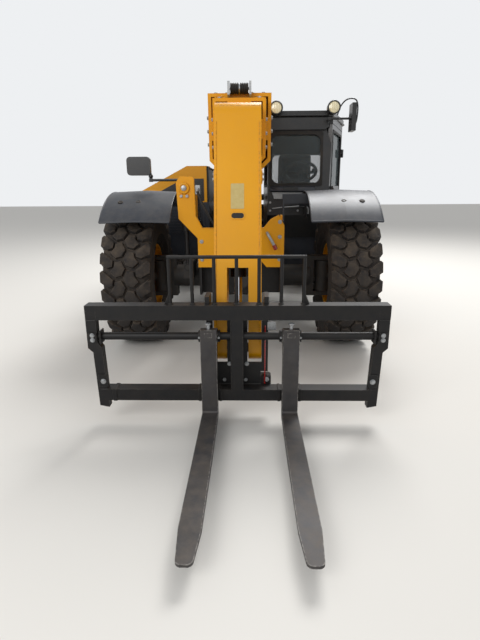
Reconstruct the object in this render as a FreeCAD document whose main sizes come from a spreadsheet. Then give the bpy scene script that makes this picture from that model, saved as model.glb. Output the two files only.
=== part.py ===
import FreeCAD, Part
import math
import os
import Sketcher

# A telehandler: a four-wheel machine with a three-section telescopic boom down its
# middle, a cab on its left, an engine pod on its right and pallet forks in front.
# Frame: x to the machine's left, y to its rear, z up, all in millimetres. The ground
# is z = 0 and the origin is under the middle of the whole length.

doc = FreeCAD.newDocument("telehandler")
sheet = doc.addObject("Spreadsheet::Sheet", "sizes")

# Driving dimensions: name, value in millimetres (or degrees), what it sets.
SIZES = [
    ("wheelbase", 2750, "front axle to rear axle"),
    ("wheel_track", 2000, "tyre centre to tyre centre across"),
    ("tail_reach", 3940, "front axle to the rearmost face"),
    ("heel_reach", 1860, "front axle to the front faces of the fork shanks"),
    ("tyre_radius", 650, "over the lugs"),
    ("tyre_width", 440, "over the sidewalls"),
    ("lug_height", 32, "lug tip above the carcass"),
    ("bead_radius", 305, "rim seat"),
    ("rim_flange", 26, "rim flange above the seat"),
    ("rim_wall", 14, "rim barrel thickness"),
    ("disc_inset", 70, "wheel disc, outboard of the tyre centre"),
    ("hub_radius", 150, "planetary hub"),
    ("hub_reach", 95, "hub end, outboard of the wheel disc"),
    ("kingpin_inset", 200, "kingpin axis, inboard of the tyre centre"),
    ("knuckle_radius", 78, "swivel housing round the kingpin"),
    ("knuckle_half", 150, "half height of the swivel housing"),
    ("yoke_plate", 38, "axle yoke ear thickness"),
    ("running_gap", 6, "clearance between pieces that move past each other"),
    ("seat_gap", 0.3, "clearance of a piece on its seat"),
    ("beam_radius", 105, "axle arm"),
    ("diff_radius", 195, "differential housing"),
    ("steer_line", 172, "axle to steering cylinder, along the machine"),
    ("steer_drop", 112, "steering rod below the axle"),
    ("steer_rod_radius", 18, "steering cylinder rod"),
    ("steer_barrel_radius", 42, "steering cylinder barrel"),
    ("steer_barrel_half", 250, "half length of the steering cylinder barrel"),
    ("chassis_half", 380, "half width over the side plates"),
    ("side_plate", 20, "chassis plate thickness"),
    ("nose_reach", 360, "front axle to the chassis front plate"),
    ("chassis_low", 470, "underside of the chassis"),
    ("chassis_deck", 920, "top of the side plates beside the cab"),
    ("front_deck", 1200, "top of the side plates at the front plate"),
    ("arch_top", 860, "side plate underside over an axle"),
    ("arch_half", 240, "half length of that arch"),
    ("tower_height", 1575, "top of the sway cylinder tower"),
    ("pivot_reach", 3290, "front axle to the boom pivot"),
    ("pivot_height", 2100, "boom pivot above the ground"),
    ("pivot_pin", 45, "boom pivot pin radius"),
    ("lift_base_forward", 380, "boom pivot to the lift cylinder's lower pin"),
    ("lift_base_drop", 1130, "boom pivot down to the lift cylinder's lower pin"),
    ("lift_eye_forward", 1900, "boom pivot to the lift cylinder's upper pin, along the boom"),
    ("lift_eye_drop", 400, "boom pivot to the lift cylinder's upper pin, square to the boom"),
    ("lift_pin", 40, "lift cylinder pin radius"),
    ("lift_barrel", 85, "lift cylinder barrel radius"),
    ("lift_rod", 45, "lift cylinder rod radius"),
    ("tilt_eye_back", 150, "carriage pivot back to the tilt cylinder's lower pin"),
    ("tilt_eye_up", -50, "carriage pivot up to the tilt cylinder's lower pin"),
    ("tilt_base_back", 400, "carriage pivot back to the tilt cylinder's upper pin"),
    ("tilt_base_up", 1100, "carriage pivot up to the tilt cylinder's upper pin"),
    ("tilt_barrel", 46, "tilt cylinder barrel radius"),
    ("tilt_rod", 27, "tilt cylinder rod radius"),
    ("boom_slope", 5, "degrees that the lowered boom falls to the front"),
    ("boom_rise", 141, "boom centre line above the pivot, square to the boom"),
    ("outer_length", 4050, "outer boom section"),
    ("outer_width", 470, "outer boom section"),
    ("outer_height", 540, "outer boom section"),
    ("outer_tail", 200, "outer boom behind the pivot"),
    ("outer_wall", 12, "outer boom plate"),
    ("mid_inset", 47, "outer section's faces to the middle section's"),
    ("mid_wall", 11, "middle boom plate"),
    ("mid_front", 4010, "pivot to the middle section's front end"),
    ("mid_rear", 260, "pivot to the middle section's rear end"),
    ("inner_inset", 31, "middle section's sides to the inner section's"),
    ("inner_inset_high", 48, "middle section's top to the inner section's"),
    ("inner_wall", 12, "inner boom plate"),
    ("inner_rear", 420, "pivot to the inner section's rear end"),
    ("pad_gap", 0.5, "clearance at the boom's wear pads"),
    ("pad_length", 160, "wear pad along the boom"),
    ("collar_length", 190, "reinforcing collar at a section's front end"),
    ("collar_plate", 14, "collar plate thickness"),
    ("corner_cut", 70, "chamfer of a boom section's lower corners"),
    ("nose_top_reach", 4460, "pivot to the front of the boom nose's top"),
    ("nose_round", 110, "radius of the nose shoulder"),
    ("nose_end_radius", 80, "boom nose round the carriage pivot"),
    ("hinge_back", 270, "fork shank face to the carriage pivot"),
    ("hinge_height", 450, "carriage pivot above the ground"),
    ("hinge_radius", 32, "carriage pivot pin"),
    ("fork_length", 1220, "shank face to fork tip"),
    ("fork_width", 100, "fork blade"),
    ("fork_thick", 50, "fork blade and shank"),
    ("fork_low", 55, "blade underside above the ground"),
    ("fork_right_side", 172, "right fork from the centre line"),
    ("fork_left_side", 331, "left fork from the centre line"),
    ("shaft_drop", 202, "fork shaft below the upper bar's top"),
    ("shaft_radius", 24, "fork shaft"),
    ("shaft_back", 84, "shank face to the fork shaft"),
    ("frame_width", 1860, "fork frame over its side plates"),
    ("bar_size", 92, "fork frame square tubes"),
    ("bar_wall", 8, "fork frame tube wall"),
    ("top_bar_height", 792, "top of the upper bar"),
    ("low_bar_height", 240, "top of the lower bar"),
    ("post_width", 64, "fork frame posts"),
    ("guard_height", 1092, "top of the load guard"),
    ("guard_width", 836, "load guard over its outer bars"),
    ("guard_bar", 11, "load guard bar radius"),
    ("cab_inner", 270, "cab wall beside the boom, from the centre line"),
    ("cab_outer", 1190, "cab at the door's rear post, from the centre line"),
    ("cab_front_outer", 925, "cab at its front outer corner"),
    ("cab_front", 620, "front axle to the windscreen foot"),
    ("cab_rear", 2080, "front axle to the cab back"),
    ("door_rear", 1440, "front axle to the door's rear post"),
    ("cab_floor", 940, "underside of the cab"),
    ("cab_height", 2190, "cab frame under the roof"),
    ("roof_thick", 55, "cab roof"),
    ("heel_run", 75, "cab's rear lower heel, along the machine"),
    ("heel_rise", 145, "cab's rear lower heel, upwards"),
    ("cab_wall", 45, "cab frame thickness"),
    ("glass_thick", 6, "window glass"),
    ("hood_inner", 402, "engine hood beside the boom, from the centre line"),
    ("hood_outer", 1150, "engine hood outer edge"),
    ("hood_front", 840, "front axle to the engine hood's front"),
    ("hood_rear", 2285, "front axle to the engine hood's rear"),
    ("hood_high", 1720, "hood top beside the boom"),
    ("hood_low", 1450, "hood top at the outer edge"),
    ("hood_base", 1330, "hood lower edge"),
    ("skin", 6, "sheet metal covers"),
    ("guard_radius", 790, "mudguard from the wheel axis"),
    ("guard_skin", 9, "mudguard thickness"),
    ("guard_crease", 12, "mudguard crease above its edges"),
    ("guard_inner", 600, "mudguard inner edge from the centre line"),
    ("guard_outer", 1195, "mudguard outer edge from the centre line"),
]


class Size:
    """A size that carries its value and the sheet expression that gives it."""

    def __init__(self, value, text):
        self.value = float(value)
        self.text = text

    def __float__(self):
        return self.value

    def __add__(self, other):
        other = sized(other)
        return Size(self.value + other.value, f"({self.text} + {other.text})")

    def __sub__(self, other):
        other = sized(other)
        return Size(self.value - other.value, f"({self.text} - {other.text})")

    def __mul__(self, other):
        other = sized(other)
        return Size(self.value * other.value, f"({self.text} * {other.text})")

    def __truediv__(self, other):
        other = sized(other)
        return Size(self.value / other.value, f"({self.text} / {other.text})")

    def __neg__(self):
        return Size(-self.value, f"(0 - {self.text})")

    def __radd__(self, other):
        return sized(other) + self

    def __rsub__(self, other):
        return sized(other) - self

    def __rmul__(self, other):
        return sized(other) * self


def sized(value):
    """A plain number as a Size."""
    return value if isinstance(value, Size) else Size(value, f"{float(value):.6f}")


def root_of_squares(a, b):
    a, b = sized(a), sized(b)
    return Size(math.hypot(a.value, b.value), f"sqrt({a.text}^2 + {b.text}^2)")


def leg_of(long_side, side):
    """The other leg of a right triangle."""
    a, b = sized(long_side), sized(side)
    return Size(math.sqrt(a.value ** 2 - b.value ** 2), f"sqrt({a.text}^2 - {b.text}^2)")


def cosine(angle):
    return Size(math.cos(math.radians(angle.value)), f"cos({angle.text})")


def sine(angle):
    return Size(math.sin(math.radians(angle.value)), f"sin({angle.text})")


def angle_of(rise, run):
    """The direction of a slope in degrees."""
    rise, run = sized(rise), sized(run)
    value = math.degrees(math.atan2(rise.value, run.value))
    return Size(value, f"atan2({rise.text}; {run.text})")


class Sheet:
    """The sheet's sizes as attributes."""

    def __init__(self, rows):
        for number, (name, value, note) in enumerate(rows, start=1):
            sheet.set(f"A{number}", name)
            sheet.set(f"B{number}", str(value))
            sheet.setAlias(f"B{number}", name)
            sheet.set(f"C{number}", note)
            setattr(self, name, Size(value, f"sizes.{name}"))


s = Sheet(SIZES)
doc.recompute()

front_axle = (s.heel_reach + s.fork_length - s.tail_reach) / 2
rear_axle = front_axle + s.wheelbase
tyre_side = s.wheel_track / 2
kingpin_side = tyre_side - s.kingpin_inset
axle_height = s.tyre_radius
pivot_y = front_axle + s.pivot_reach
shank_face = front_axle - s.heel_reach
hinge_y = shank_face + s.hinge_back
mid_width = s.outer_width - s.mid_inset * 2
mid_height = s.outer_height - s.mid_inset * 2
inner_width = mid_width - s.inner_inset * 2
inner_height = mid_height - s.inner_inset_high * 2
nodes = {}


def bind(thing, prop, size):
    """Sets a property to a size and ties it to the sheet."""
    thing.setExpression(prop, sized(size).text)


def place(thing, x=0, y=0, z=0, axis=None, angle=0):
    """Puts a thing at a point, turned about an axis by an angle in degrees."""
    turn = FreeCAD.Rotation(FreeCAD.Vector(*(axis or (1, 0, 0))), float(angle))
    spot = FreeCAD.Vector(float(x), float(y), float(z))
    thing.Placement = FreeCAD.Placement(spot, turn)
    bind(thing, "Placement.Base.x", x)
    bind(thing, "Placement.Base.y", y)
    bind(thing, "Placement.Base.z", z)
    if isinstance(angle, Size):
        thing.setExpression("Placement.Rotation.Angle", angle.text)
    return thing


def box(name, x, y, z):
    """A block from its low and high faces on each axis."""
    made = doc.addObject("Part::Box", name)
    bind(made, "Length", x[1] - x[0])
    bind(made, "Width", y[1] - y[0])
    bind(made, "Height", z[1] - z[0])
    return place(made, x[0], y[0], z[0])


def rod(name, radius, length, x, y, z, along="x"):
    """A round bar that starts at a point and runs along an axis."""
    made = doc.addObject("Part::Cylinder", name)
    bind(made, "Radius", radius)
    bind(made, "Height", length)
    turns = {"x": ((0, 1, 0), 90), "y": ((1, 0, 0), -90), "z": ((0, 0, 1), 0)}
    axis, angle = turns[along]
    return place(made, x, y, z, axis, angle)


def fuse(name, *things):
    made = doc.addObject("Part::MultiFuse", name)
    made.Shapes = list(things)
    made.Refine = True
    return made


def cut(name, base, *tools):
    """The base with each tool taken out of it."""
    tool = tools[0] if len(tools) == 1 else fuse(name + "_tools", *tools)
    made = doc.addObject("Part::Cut", name)
    made.Base = base
    made.Tool = tool
    made.Refine = True
    return made


def group(name, *things):
    """Several solids that don't touch, as one sub-part."""
    made = doc.addObject("Part::Compound", name)
    made.Links = list(things)
    return made


def mirrored(name, thing):
    """The thing's twin on the other side of the centre plane."""
    made = doc.addObject("Part::Mirroring", name)
    made.Source = thing
    made.Base = FreeCAD.Vector(0, 0, 0)
    made.Normal = FreeCAD.Vector(1, 0, 0)
    return made


def plane_of(body, role):
    return next(part for part in body.Origin.OriginFeatures if part.Role == role)


def draw(sketch, outline, holes):
    """Draws a closed outline of corner points, and round holes, fully constrained."""
    corners = [FreeCAD.Vector(float(a), float(b), 0) for a, b in outline]
    count = len(corners)
    lines = [Part.LineSegment(corners[i], corners[(i + 1) % count]) for i in range(count)]
    sketch.addGeometry(lines, False)
    for i in range(count):
        sketch.addConstraint(Sketcher.Constraint("Coincident", i, 2, (i + 1) % count, 1))
    for i, (a, b) in enumerate(outline):
        pin(sketch, "DistanceX", i, 1, a)
        pin(sketch, "DistanceY", i, 1, b)
    for number, (a, b, radius) in enumerate(holes):
        centre = FreeCAD.Vector(float(a), float(b), 0)
        circle = Part.Circle(centre, FreeCAD.Vector(0, 0, 1), float(radius))
        sketch.addGeometry(circle, False)
        which = count + number
        row = sketch.addConstraint(Sketcher.Constraint("Radius", which, float(radius)))
        bind(sketch, f"Constraints[{row}]", radius)
        pin(sketch, "DistanceX", which, 3, a)
        pin(sketch, "DistanceY", which, 3, b)


def pin(sketch, kind, which, end, size):
    """Holds a point of the sketch at a distance from the sketch's origin."""
    rule = Sketcher.Constraint(kind, -1, 1, which, end, float(size))
    row = sketch.addConstraint(rule)
    bind(sketch, f"Constraints[{row}]", size)


def rounded(body, pad, outline, plane, corners):
    """Rounds upright edges of a pad: corners gives point number and radius."""
    first, second = {"YZ": ("y", "z"), "XZ": ("x", "z"), "XY": ("x", "y")}[plane]
    radii = {}
    for number, radius in corners.items():
        radii.setdefault(sized(radius).text, (radius, []))[1].append(number)
    last = pad
    for step, (radius, numbers) in enumerate(radii.values()):
        doc.recompute()
        names = []
        for index, edge in enumerate(last.Shape.Edges, start=1):
            ends = [v.Point for v in edge.Vertexes]
            for number in numbers:
                spot = (float(outline[number][0]), float(outline[number][1]))
                near = [
                    math.hypot(getattr(p, first) - spot[0], getattr(p, second) - spot[1]) < 0.01
                    for p in ends
                ]
                if len(ends) == 2 and all(near):
                    names.append(f"Edge{index}")
        smooth = body.newObject("PartDesign::Fillet", f"{body.Name}_round{step}")
        smooth.Base = (last, names)
        bind(smooth, "Radius", radius)
        last = smooth
    body.Tip = last
    doc.recompute()
    return body


def plate(name, plane, outline, low, high, holes=(), corners=None):
    """A flat outline on a plane, padded from its low to its high side."""
    body = doc.addObject("PartDesign::Body", name)
    sketch = body.newObject("Sketcher::SketchObject", name + "_outline")
    sketch.AttachmentSupport = (plane_of(body, plane + "_Plane"), [""])
    sketch.MapMode = "FlatFace"
    start = -sized(high) if plane == "XZ" else sized(low)
    sketch.AttachmentOffset = FreeCAD.Placement(
        FreeCAD.Vector(0, 0, float(start)), FreeCAD.Rotation()
    )
    bind(sketch, "AttachmentOffset.Base.z", start)
    draw(sketch, outline, holes)
    pad = body.newObject("PartDesign::Pad", name + "_pad")
    pad.Profile = sketch
    bind(pad, "Length", sized(high) - low)
    if corners:
        rounded(body, pad, outline, plane, corners)
    return body


def turned(name, profile, angle=360):
    """A profile of (x, radius) points turned about the x axis."""
    body = doc.addObject("PartDesign::Body", name)
    sketch = body.newObject("Sketcher::SketchObject", name + "_profile")
    sketch.AttachmentSupport = (plane_of(body, "XZ_Plane"), [""])
    sketch.MapMode = "FlatFace"
    draw(sketch, profile, ())
    turn = body.newObject("PartDesign::Revolution", name + "_turn")
    turn.Profile = sketch
    turn.ReferenceAxis = (sketch, ["H_Axis"])
    turn.Angle = angle
    return body


def node(name, thing):
    """Names a finished sub-part."""
    thing.Label = name
    nodes[name] = thing
    return thing


# Wheels: one rim and one tyre, outboard side toward +x, then four of each.
LUGS = 21
LUG_TURN = 28
bead = s.bead_radius
carcass = s.tyre_radius - s.lug_height
half_tyre = s.tyre_width / 2
bead_side = half_tyre * 0.68
barrel_in = bead - s.rim_wall
flange_top = bead + s.rim_flange
spindle = sized(60)
hub_in = sized(-40)
hub_socket = sized(45)
disc_plate = sized(18)

rim_profile = [
    (hub_in, spindle + 0.05),
    (hub_in, s.hub_radius),
    (s.disc_inset, s.hub_radius),
    (s.disc_inset, barrel_in),
    (-bead_side - 15, barrel_in),
    (-bead_side - 15, flange_top),
    (-bead_side - s.seat_gap, flange_top),
    (-bead_side - s.seat_gap, bead),
    (bead_side + s.seat_gap, bead),
    (bead_side + s.seat_gap, flange_top),
    (bead_side + 15, flange_top),
    (bead_side + 15, barrel_in),
    (s.disc_inset + disc_plate, barrel_in),
    (s.disc_inset + disc_plate, s.hub_radius),
    (s.disc_inset + s.hub_reach - 20, s.hub_radius - 5),
    (s.disc_inset + s.hub_reach, s.hub_radius - 45),
    (s.disc_inset + s.hub_reach, sized(0)),
    (hub_socket, sized(0)),
    (hub_socket, spindle + 0.05),
]
rim = turned("rim", rim_profile)

band = carcass - bead
tyre_half_profile = [
    (bead_side, bead + s.seat_gap),
    (bead_side, bead + s.rim_flange + 4),
    (half_tyre, bead + band * 0.5),
    (half_tyre * 0.85, carcass),
]
tyre_profile = tyre_half_profile + [(-x, r) for x, r in reversed(tyre_half_profile)]
tyre_skin = turned("tyre_carcass", tyre_profile)

# A lug is a flat-topped bar laid askew from near the tread's middle to its shoulder.
# Its corners reach the tyre's radius, and its foot is sunk into the carcass.
lug_long = s.tyre_width * 0.36
lug_wide = sized(75)
lug_mid = s.tyre_width * 0.22
lug_sink = sized(20)
lug_turn = sized(LUG_TURN)
lug_across = lug_long / 2 * sine(lug_turn) + lug_wide / 2 * cosine(lug_turn)
lug_top = leg_of(s.tyre_radius, lug_across)
lug_bars = []
for number in range(LUGS * 2):
    side = 1 if number % 2 else -1
    bar = doc.addObject("Part::Box", f"lug{number}")
    bind(bar, "Length", lug_long)
    bind(bar, "Width", lug_wide)
    bind(bar, "Height", lug_top - carcass + lug_sink)
    place(bar, -lug_long / 2, -lug_wide / 2, 0)
    laid = place(group(f"lug{number}_laid", bar), lug_mid * side, 0, carcass - lug_sink, (0, 0, 1),
                 LUG_TURN * side)
    lug_bars.append(place(group(f"lug{number}_set", laid), 0, 0, 0, (1, 0, 0), number * 180.0 / LUGS))
tyre = fuse("tyre", tyre_skin, *lug_bars)
tyre.Refine = False
rim_twin = mirrored("rim_twin", rim)
tyre_twin = mirrored("tyre_twin", tyre)

WHEELS = [
    ("front_left", 1, front_axle),
    ("front_right", -1, front_axle),
    ("rear_left", 1, rear_axle),
    ("rear_right", -1, rear_axle),
]
swivel_in = s.knuckle_radius + s.running_gap
arm_top = -s.steer_drop + 52
for corner, side, axle_y in WHEELS:
    lead = 1 if axle_y is front_axle else -1
    wheel_x = tyre_side * side
    pin_x = kingpin_side * side
    for kind, plain, twin in (("rim", rim, rim_twin), ("tyre", tyre, tyre_twin)):
        placed = group(f"{kind}_{corner}_set", plain if side > 0 else twin)
        node(f"{kind}_{corner}", place(placed, wheel_x, axle_y, axle_height))
    housing = rod(
        f"swivel_{corner}", s.knuckle_radius, s.knuckle_half * 2,
        pin_x, axle_y, axle_height - s.knuckle_half, "z",
    )
    # The stub axle runs from the swivel into the hub's socket.
    hub_face = (s.kingpin_inset + hub_in - s.running_gap) * side
    flange_x = pin_x if side > 0 else pin_x + hub_face
    flange = rod(
        f"stub_flange_{corner}", sized(74), s.kingpin_inset + hub_in - s.running_gap,
        flange_x, axle_y, axle_height,
    )
    stub_length = s.kingpin_inset + hub_socket - 5
    stub_x = pin_x if side > 0 else pin_x - stub_length
    stub = rod(f"stub_{corner}", spindle, stub_length, stub_x, axle_y, axle_height)
    arm_y = (axle_y, axle_y + s.steer_line) if lead > 0 else (axle_y - s.steer_line, axle_y)
    arm = box(
        f"arm_{corner}", (pin_x - 34, pin_x + 34), arm_y,
        (axle_height + arm_top - 26, axle_height + arm_top),
    )
    eye = rod(
        f"arm_eye_{corner}", sized(34), sized(26),
        pin_x, axle_y + s.steer_line * lead, axle_height + arm_top - 26, "z",
    )
    whole = fuse(f"knuckle_{corner}_whole", housing, flange, stub, arm, eye)
    bores = []
    for end in (1, -1):
        low = axle_height + s.knuckle_half - 50 if end > 0 else axle_height - s.knuckle_half
        bores.append(rod(f"swivel_bore_{corner}_{end + 1}", sized(28.05), 50, pin_x, axle_y, low, "z"))
    node(f"knuckle_{corner}", cut(f"knuckle_{corner}_cut", whole, *bores))

# Axles: a differential, two arms, forked ends with their kingpins, and a trunnion.
ear_low = s.knuckle_half + s.running_gap
for label, axle_y, lead in (("front", front_axle, 1), ("rear", rear_axle, -1)):
    wall_out = kingpin_side - swivel_in - 16
    beam_half = wall_out - 40
    pieces = [
        rod(f"{label}_beam", s.beam_radius, beam_half * 2, -beam_half, axle_y, axle_height),
        rod(f"{label}_diff", s.diff_radius, sized(250), sized(-125), axle_y, axle_height),
        rod(
            f"{label}_trunnion", sized(70), sized(620),
            0, axle_y - 310, axle_height, "y",
        ),
    ]
    for side in (1, -1):
        inner = wall_out - 66
        spans = [(inner, wall_out), (inner, kingpin_side + 62)]
        turns = [(a, b) if side > 0 else (-b, -a) for a, b in spans]
        pieces.append(box(
            f"{label}_wall_{side + 1}", turns[0], (axle_y - 60, axle_y + 60),
            (axle_height - ear_low - s.yoke_plate, axle_height + ear_low + s.yoke_plate),
        ))
        for end in (1, -1):
            ear_z = axle_height + ear_low if end > 0 else axle_height - ear_low - s.yoke_plate
            pieces.append(box(
                f"{label}_ear_{side + 1}_{end + 1}", turns[1], (axle_y - 60, axle_y + 60),
                (ear_z, ear_z + s.yoke_plate),
            ))
            pin_low = ear_z - 45 if end > 0 else ear_z
            pieces.append(rod(
                f"{label}_kingpin_{side + 1}_{end + 1}", sized(28), s.yoke_plate + 45,
                kingpin_side * side, axle_y, pin_low, "z",
            ))
    line_y = axle_y + s.steer_line * lead
    line_z = axle_height - s.steer_drop
    barrel = rod(
        f"{label}_steer_barrel", s.steer_barrel_radius, s.steer_barrel_half * 2,
        -s.steer_barrel_half, line_y, line_z,
    )
    cradle_y = (axle_y, line_y) if lead > 0 else (line_y, axle_y)
    cradles = [
        box(f"{label}_cradle_{side + 1}", (sized(side * 150 - 25), sized(side * 150 + 25)),
            cradle_y, (line_z - 30, line_z + 34))
        for side in (1, -1)
    ]
    bore = rod(
        f"{label}_steer_bore", s.steer_rod_radius + 0.05, s.steer_barrel_half * 2,
        -s.steer_barrel_half, line_y, line_z,
    )
    node(f"{label}_axle", cut(
        f"{label}_axle_cut", fuse(f"{label}_axle_whole", *pieces, barrel, *cradles), bore,
    ))
    eyes = [
        rod(f"{label}_rod_eye_{side + 1}", sized(30), sized(44),
            kingpin_side * side, line_y, line_z - 22, "z")
        for side in (1, -1)
    ]
    node(f"{label}_steering_rod", fuse(
        f"{label}_steering_whole",
        rod(f"{label}_steer_rod", s.steer_rod_radius, kingpin_side * 2, -kingpin_side, line_y, line_z),
        *eyes,
    ))

# Chassis: two side plates with arches over the axles, tied across by upright plates,
# decks and pins, each a sub-part of its own.
side_out = s.chassis_half
side_in = s.chassis_half - s.side_plate
nose_y = front_axle - s.nose_reach
tail_y = front_axle + s.tail_reach
frame_tail = tail_y - 360
cab_back_y = front_axle + s.cab_rear
tower_foot = cab_back_y + 430
side_outline = [
    (nose_y, s.chassis_low + 60),
    (front_axle - s.arch_half, s.chassis_low + 60),
    (front_axle - s.arch_half, s.arch_top - 60),
    (front_axle - s.arch_half + 60, s.arch_top),
    (front_axle + s.arch_half - 60, s.arch_top),
    (front_axle + s.arch_half, s.arch_top - 60),
    (front_axle + s.arch_half, s.chassis_low),
    (rear_axle - s.arch_half, s.chassis_low),
    (rear_axle - s.arch_half, s.arch_top - 60),
    (rear_axle - s.arch_half + 60, s.arch_top),
    (rear_axle + s.arch_half - 60, s.arch_top),
    (rear_axle + s.arch_half, s.arch_top - 60),
    (rear_axle + s.arch_half, s.chassis_low + 60),
    (frame_tail, s.chassis_low + 60),
    (frame_tail, s.chassis_deck + 330),
    (pivot_y + 130, s.pivot_height + 60),
    (pivot_y + 60, s.pivot_height + 130),
    (pivot_y - 60, s.pivot_height + 130),
    (pivot_y - 150, s.pivot_height + 40),
    (rear_axle + 90, s.chassis_deck + 560),
    (tower_foot - 60, s.chassis_deck + 190),
    (tower_foot - 340, s.chassis_deck),
    (front_axle + 560, s.chassis_deck),
    (nose_y + 90, s.front_deck),
    (nose_y, s.front_deck),
]
lift_base_y = pivot_y - s.lift_base_forward
lift_base_z = s.pivot_height - s.lift_base_drop
pivot_hole = (pivot_y, s.pivot_height, s.pivot_pin + s.seat_gap)
node("chassis_frame", group(
    "chassis_sides",
    plate("side_left", "YZ", side_outline, side_in, side_out, [pivot_hole]),
    plate("side_right", "YZ", side_outline, -side_out, -side_in, [pivot_hole]),
))
cross = (-side_in, side_in)
front_deck_low = s.arch_top + 60
rear_deck_low = s.arch_top + 2
deck_plate = sized(16)
tail_plate_y = frame_tail - 20
node("chassis_decks", group(
    "chassis_decks_set",
    box("belly", cross, (front_axle + s.arch_half + 20, rear_axle - s.arch_half - 20),
        (s.chassis_low, s.chassis_low + 14)),
    box("deck_front", cross, (nose_y, front_axle + s.arch_half + 120),
        (front_deck_low, front_deck_low + deck_plate)),
    box("deck_rear", cross, (rear_axle - 180, tail_plate_y), (rear_deck_low, rear_deck_low + deck_plate)),
))
node("chassis_pins", group(
    "chassis_pins_set",
    rod("pivot_pin", s.pivot_pin, side_out * 2 + 60, -side_out - 30, pivot_y, s.pivot_height),
    rod("tower_tie", sized(50), side_in * 2, -side_in, pivot_y + 60, s.chassis_deck + 420),
    rod("lift_base_pin", s.lift_pin, side_in * 2, -side_in, lift_base_y, lift_base_z),
))
# Cross webs at each arch carry the axle trunnions. They end under the decks.
web_plate = sized(24)
web_low = s.chassis_low + 60
webs = [
    ("front_web_a", front_axle - s.arch_half - web_plate, front_deck_low),
    ("front_web_b", front_axle + s.arch_half, front_deck_low),
    ("rear_web_a", rear_axle - s.arch_half - web_plate, front_deck_low),
    ("rear_web_b", rear_axle + s.arch_half, rear_deck_low),
]
cross_plates = [box("tail_plate", cross, (tail_plate_y, frame_tail), (web_low, s.chassis_deck + 300))]
for name, web_y, web_top in webs:
    cross_plates.append(cut(
        name + "_cut",
        box(name, cross, (web_y, web_y + web_plate), (web_low, web_top)),
        rod(name + "_hole", sized(70) + s.seat_gap, web_plate, 0, web_y, axle_height, "y"),
    ))
node("chassis_webs", group("chassis_webs_set", *cross_plates))

# Front bulkhead: a cross plate with a tall tower on the right and a low one on the left.
plate_y = (nose_y - 22, nose_y)
bulk_outline = [
    (-side_out - 5, s.arch_top - 70),
    (-230, s.arch_top - 70),
    (-170, s.arch_top),
    (170, s.arch_top),
    (230, s.arch_top - 70),
    (side_out + 5, s.arch_top - 70),
    (side_out + 5, s.front_deck - 40),
    (side_out - 45, s.front_deck + 50),
    (265, s.front_deck + 15),
    (200, s.front_deck - 60),
    (-340, s.front_deck - 60),
    (-395, s.front_deck + 40),
    (-405, s.tower_height),
    (-525, s.tower_height + 5),
    (-560, s.tower_height - 50),
    (-548, s.front_deck + 20),
    (-side_out - 5, s.front_deck - 150),
]
sway_x = sized(-490)
sway_z = s.tower_height - 95
bulk = plate("bulk_plate", "XZ", bulk_outline, *plate_y)
ribs = [
    box("tower_rib", (-415, -395), (nose_y, nose_y + 150), (s.front_deck - 60, s.tower_height - 120)),
    box("low_rib", (side_out - 30, side_out - 12), (nose_y, nose_y + 90), (s.front_deck, s.front_deck + 45)),
    rod("sway_boss", sized(34), sized(36), sway_x, nose_y - 36, sway_z, "y"),
    rod("sway_pin", sized(22), sized(110), sway_x, nose_y - 36, sway_z, "y"),
]
node("front_bulkhead", fuse("bulkhead_whole", bulk, *ribs))

# Sway cylinder: hangs from the tower's pin to a lug on the axle beam.
sway_y = nose_y + 48
sway_low = axle_height + 130
sway = fuse(
    "sway_whole",
    rod("sway_eye", sized(38), sized(44), sway_x, sway_y - 22, sway_z, "y"),
    rod("sway_barrel", sized(40), sized(330), sway_x, sway_y, sway_z - 365, "z"),
    rod("sway_rod", sized(20), sized(330), sway_x, sway_y, sway_low + 28, "z"),
    rod("sway_foot", sized(34), sized(44), sway_x, sway_y - 22, sway_low, "y"),
)
sway_hole = rod("sway_hole", sized(22) + s.seat_gap, sized(50), sway_x, sway_y - 25, sway_z, "y")
foot_hole = rod("foot_hole", sized(20) + s.seat_gap, sized(50), sway_x, sway_y - 25, sway_low, "y")
node("sway_cylinder", cut("sway_cut", sway, sway_hole, foot_hole))

# The lug for the sway cylinder joins the front axle's arm.
axle_lug = fuse(
    "sway_lug",
    box("sway_lug_plate", (sway_x - 45, sway_x + 45), (sway_y + 30, front_axle),
        (axle_height + 20, axle_height + 172)),
    rod("sway_lug_pin", sized(20), sized(70), sway_x, sway_y - 30, sway_low, "y"),
)
plain_front_axle = nodes["front_axle"]
plain_front_axle.Label = "front_axle_plain"
node("front_axle", fuse("front_axle_lugged", plain_front_axle, axle_lug))

# Counterweight and tow hitch at the tail.
weight_outline = [
    (frame_tail, s.chassis_low + 90),
    (tail_y - 60, s.chassis_low + 90),
    (tail_y, s.chassis_low + 190),
    (tail_y, s.chassis_deck + 60),
    (tail_y - 70, s.chassis_deck + 250),
    (frame_tail, s.chassis_deck + 290),
]
lamp_blocks = {}
for use in ("pocket", "lens"):
    lamp_blocks[use] = [
        box(f"tail_{use}_{side + 1}", (sized(side * 540 - 60), sized(side * 540 + 60)),
            (tail_y - 24, tail_y), (s.chassis_deck - 130, s.chassis_deck - 60))
        for side in (1, -1)
    ]
weight_half = sized(640)
weight = plate("weight", "YZ", weight_outline, -weight_half, weight_half)
hitch_z = s.chassis_low + 90
hitch_pin_y = tail_y - 55
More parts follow.
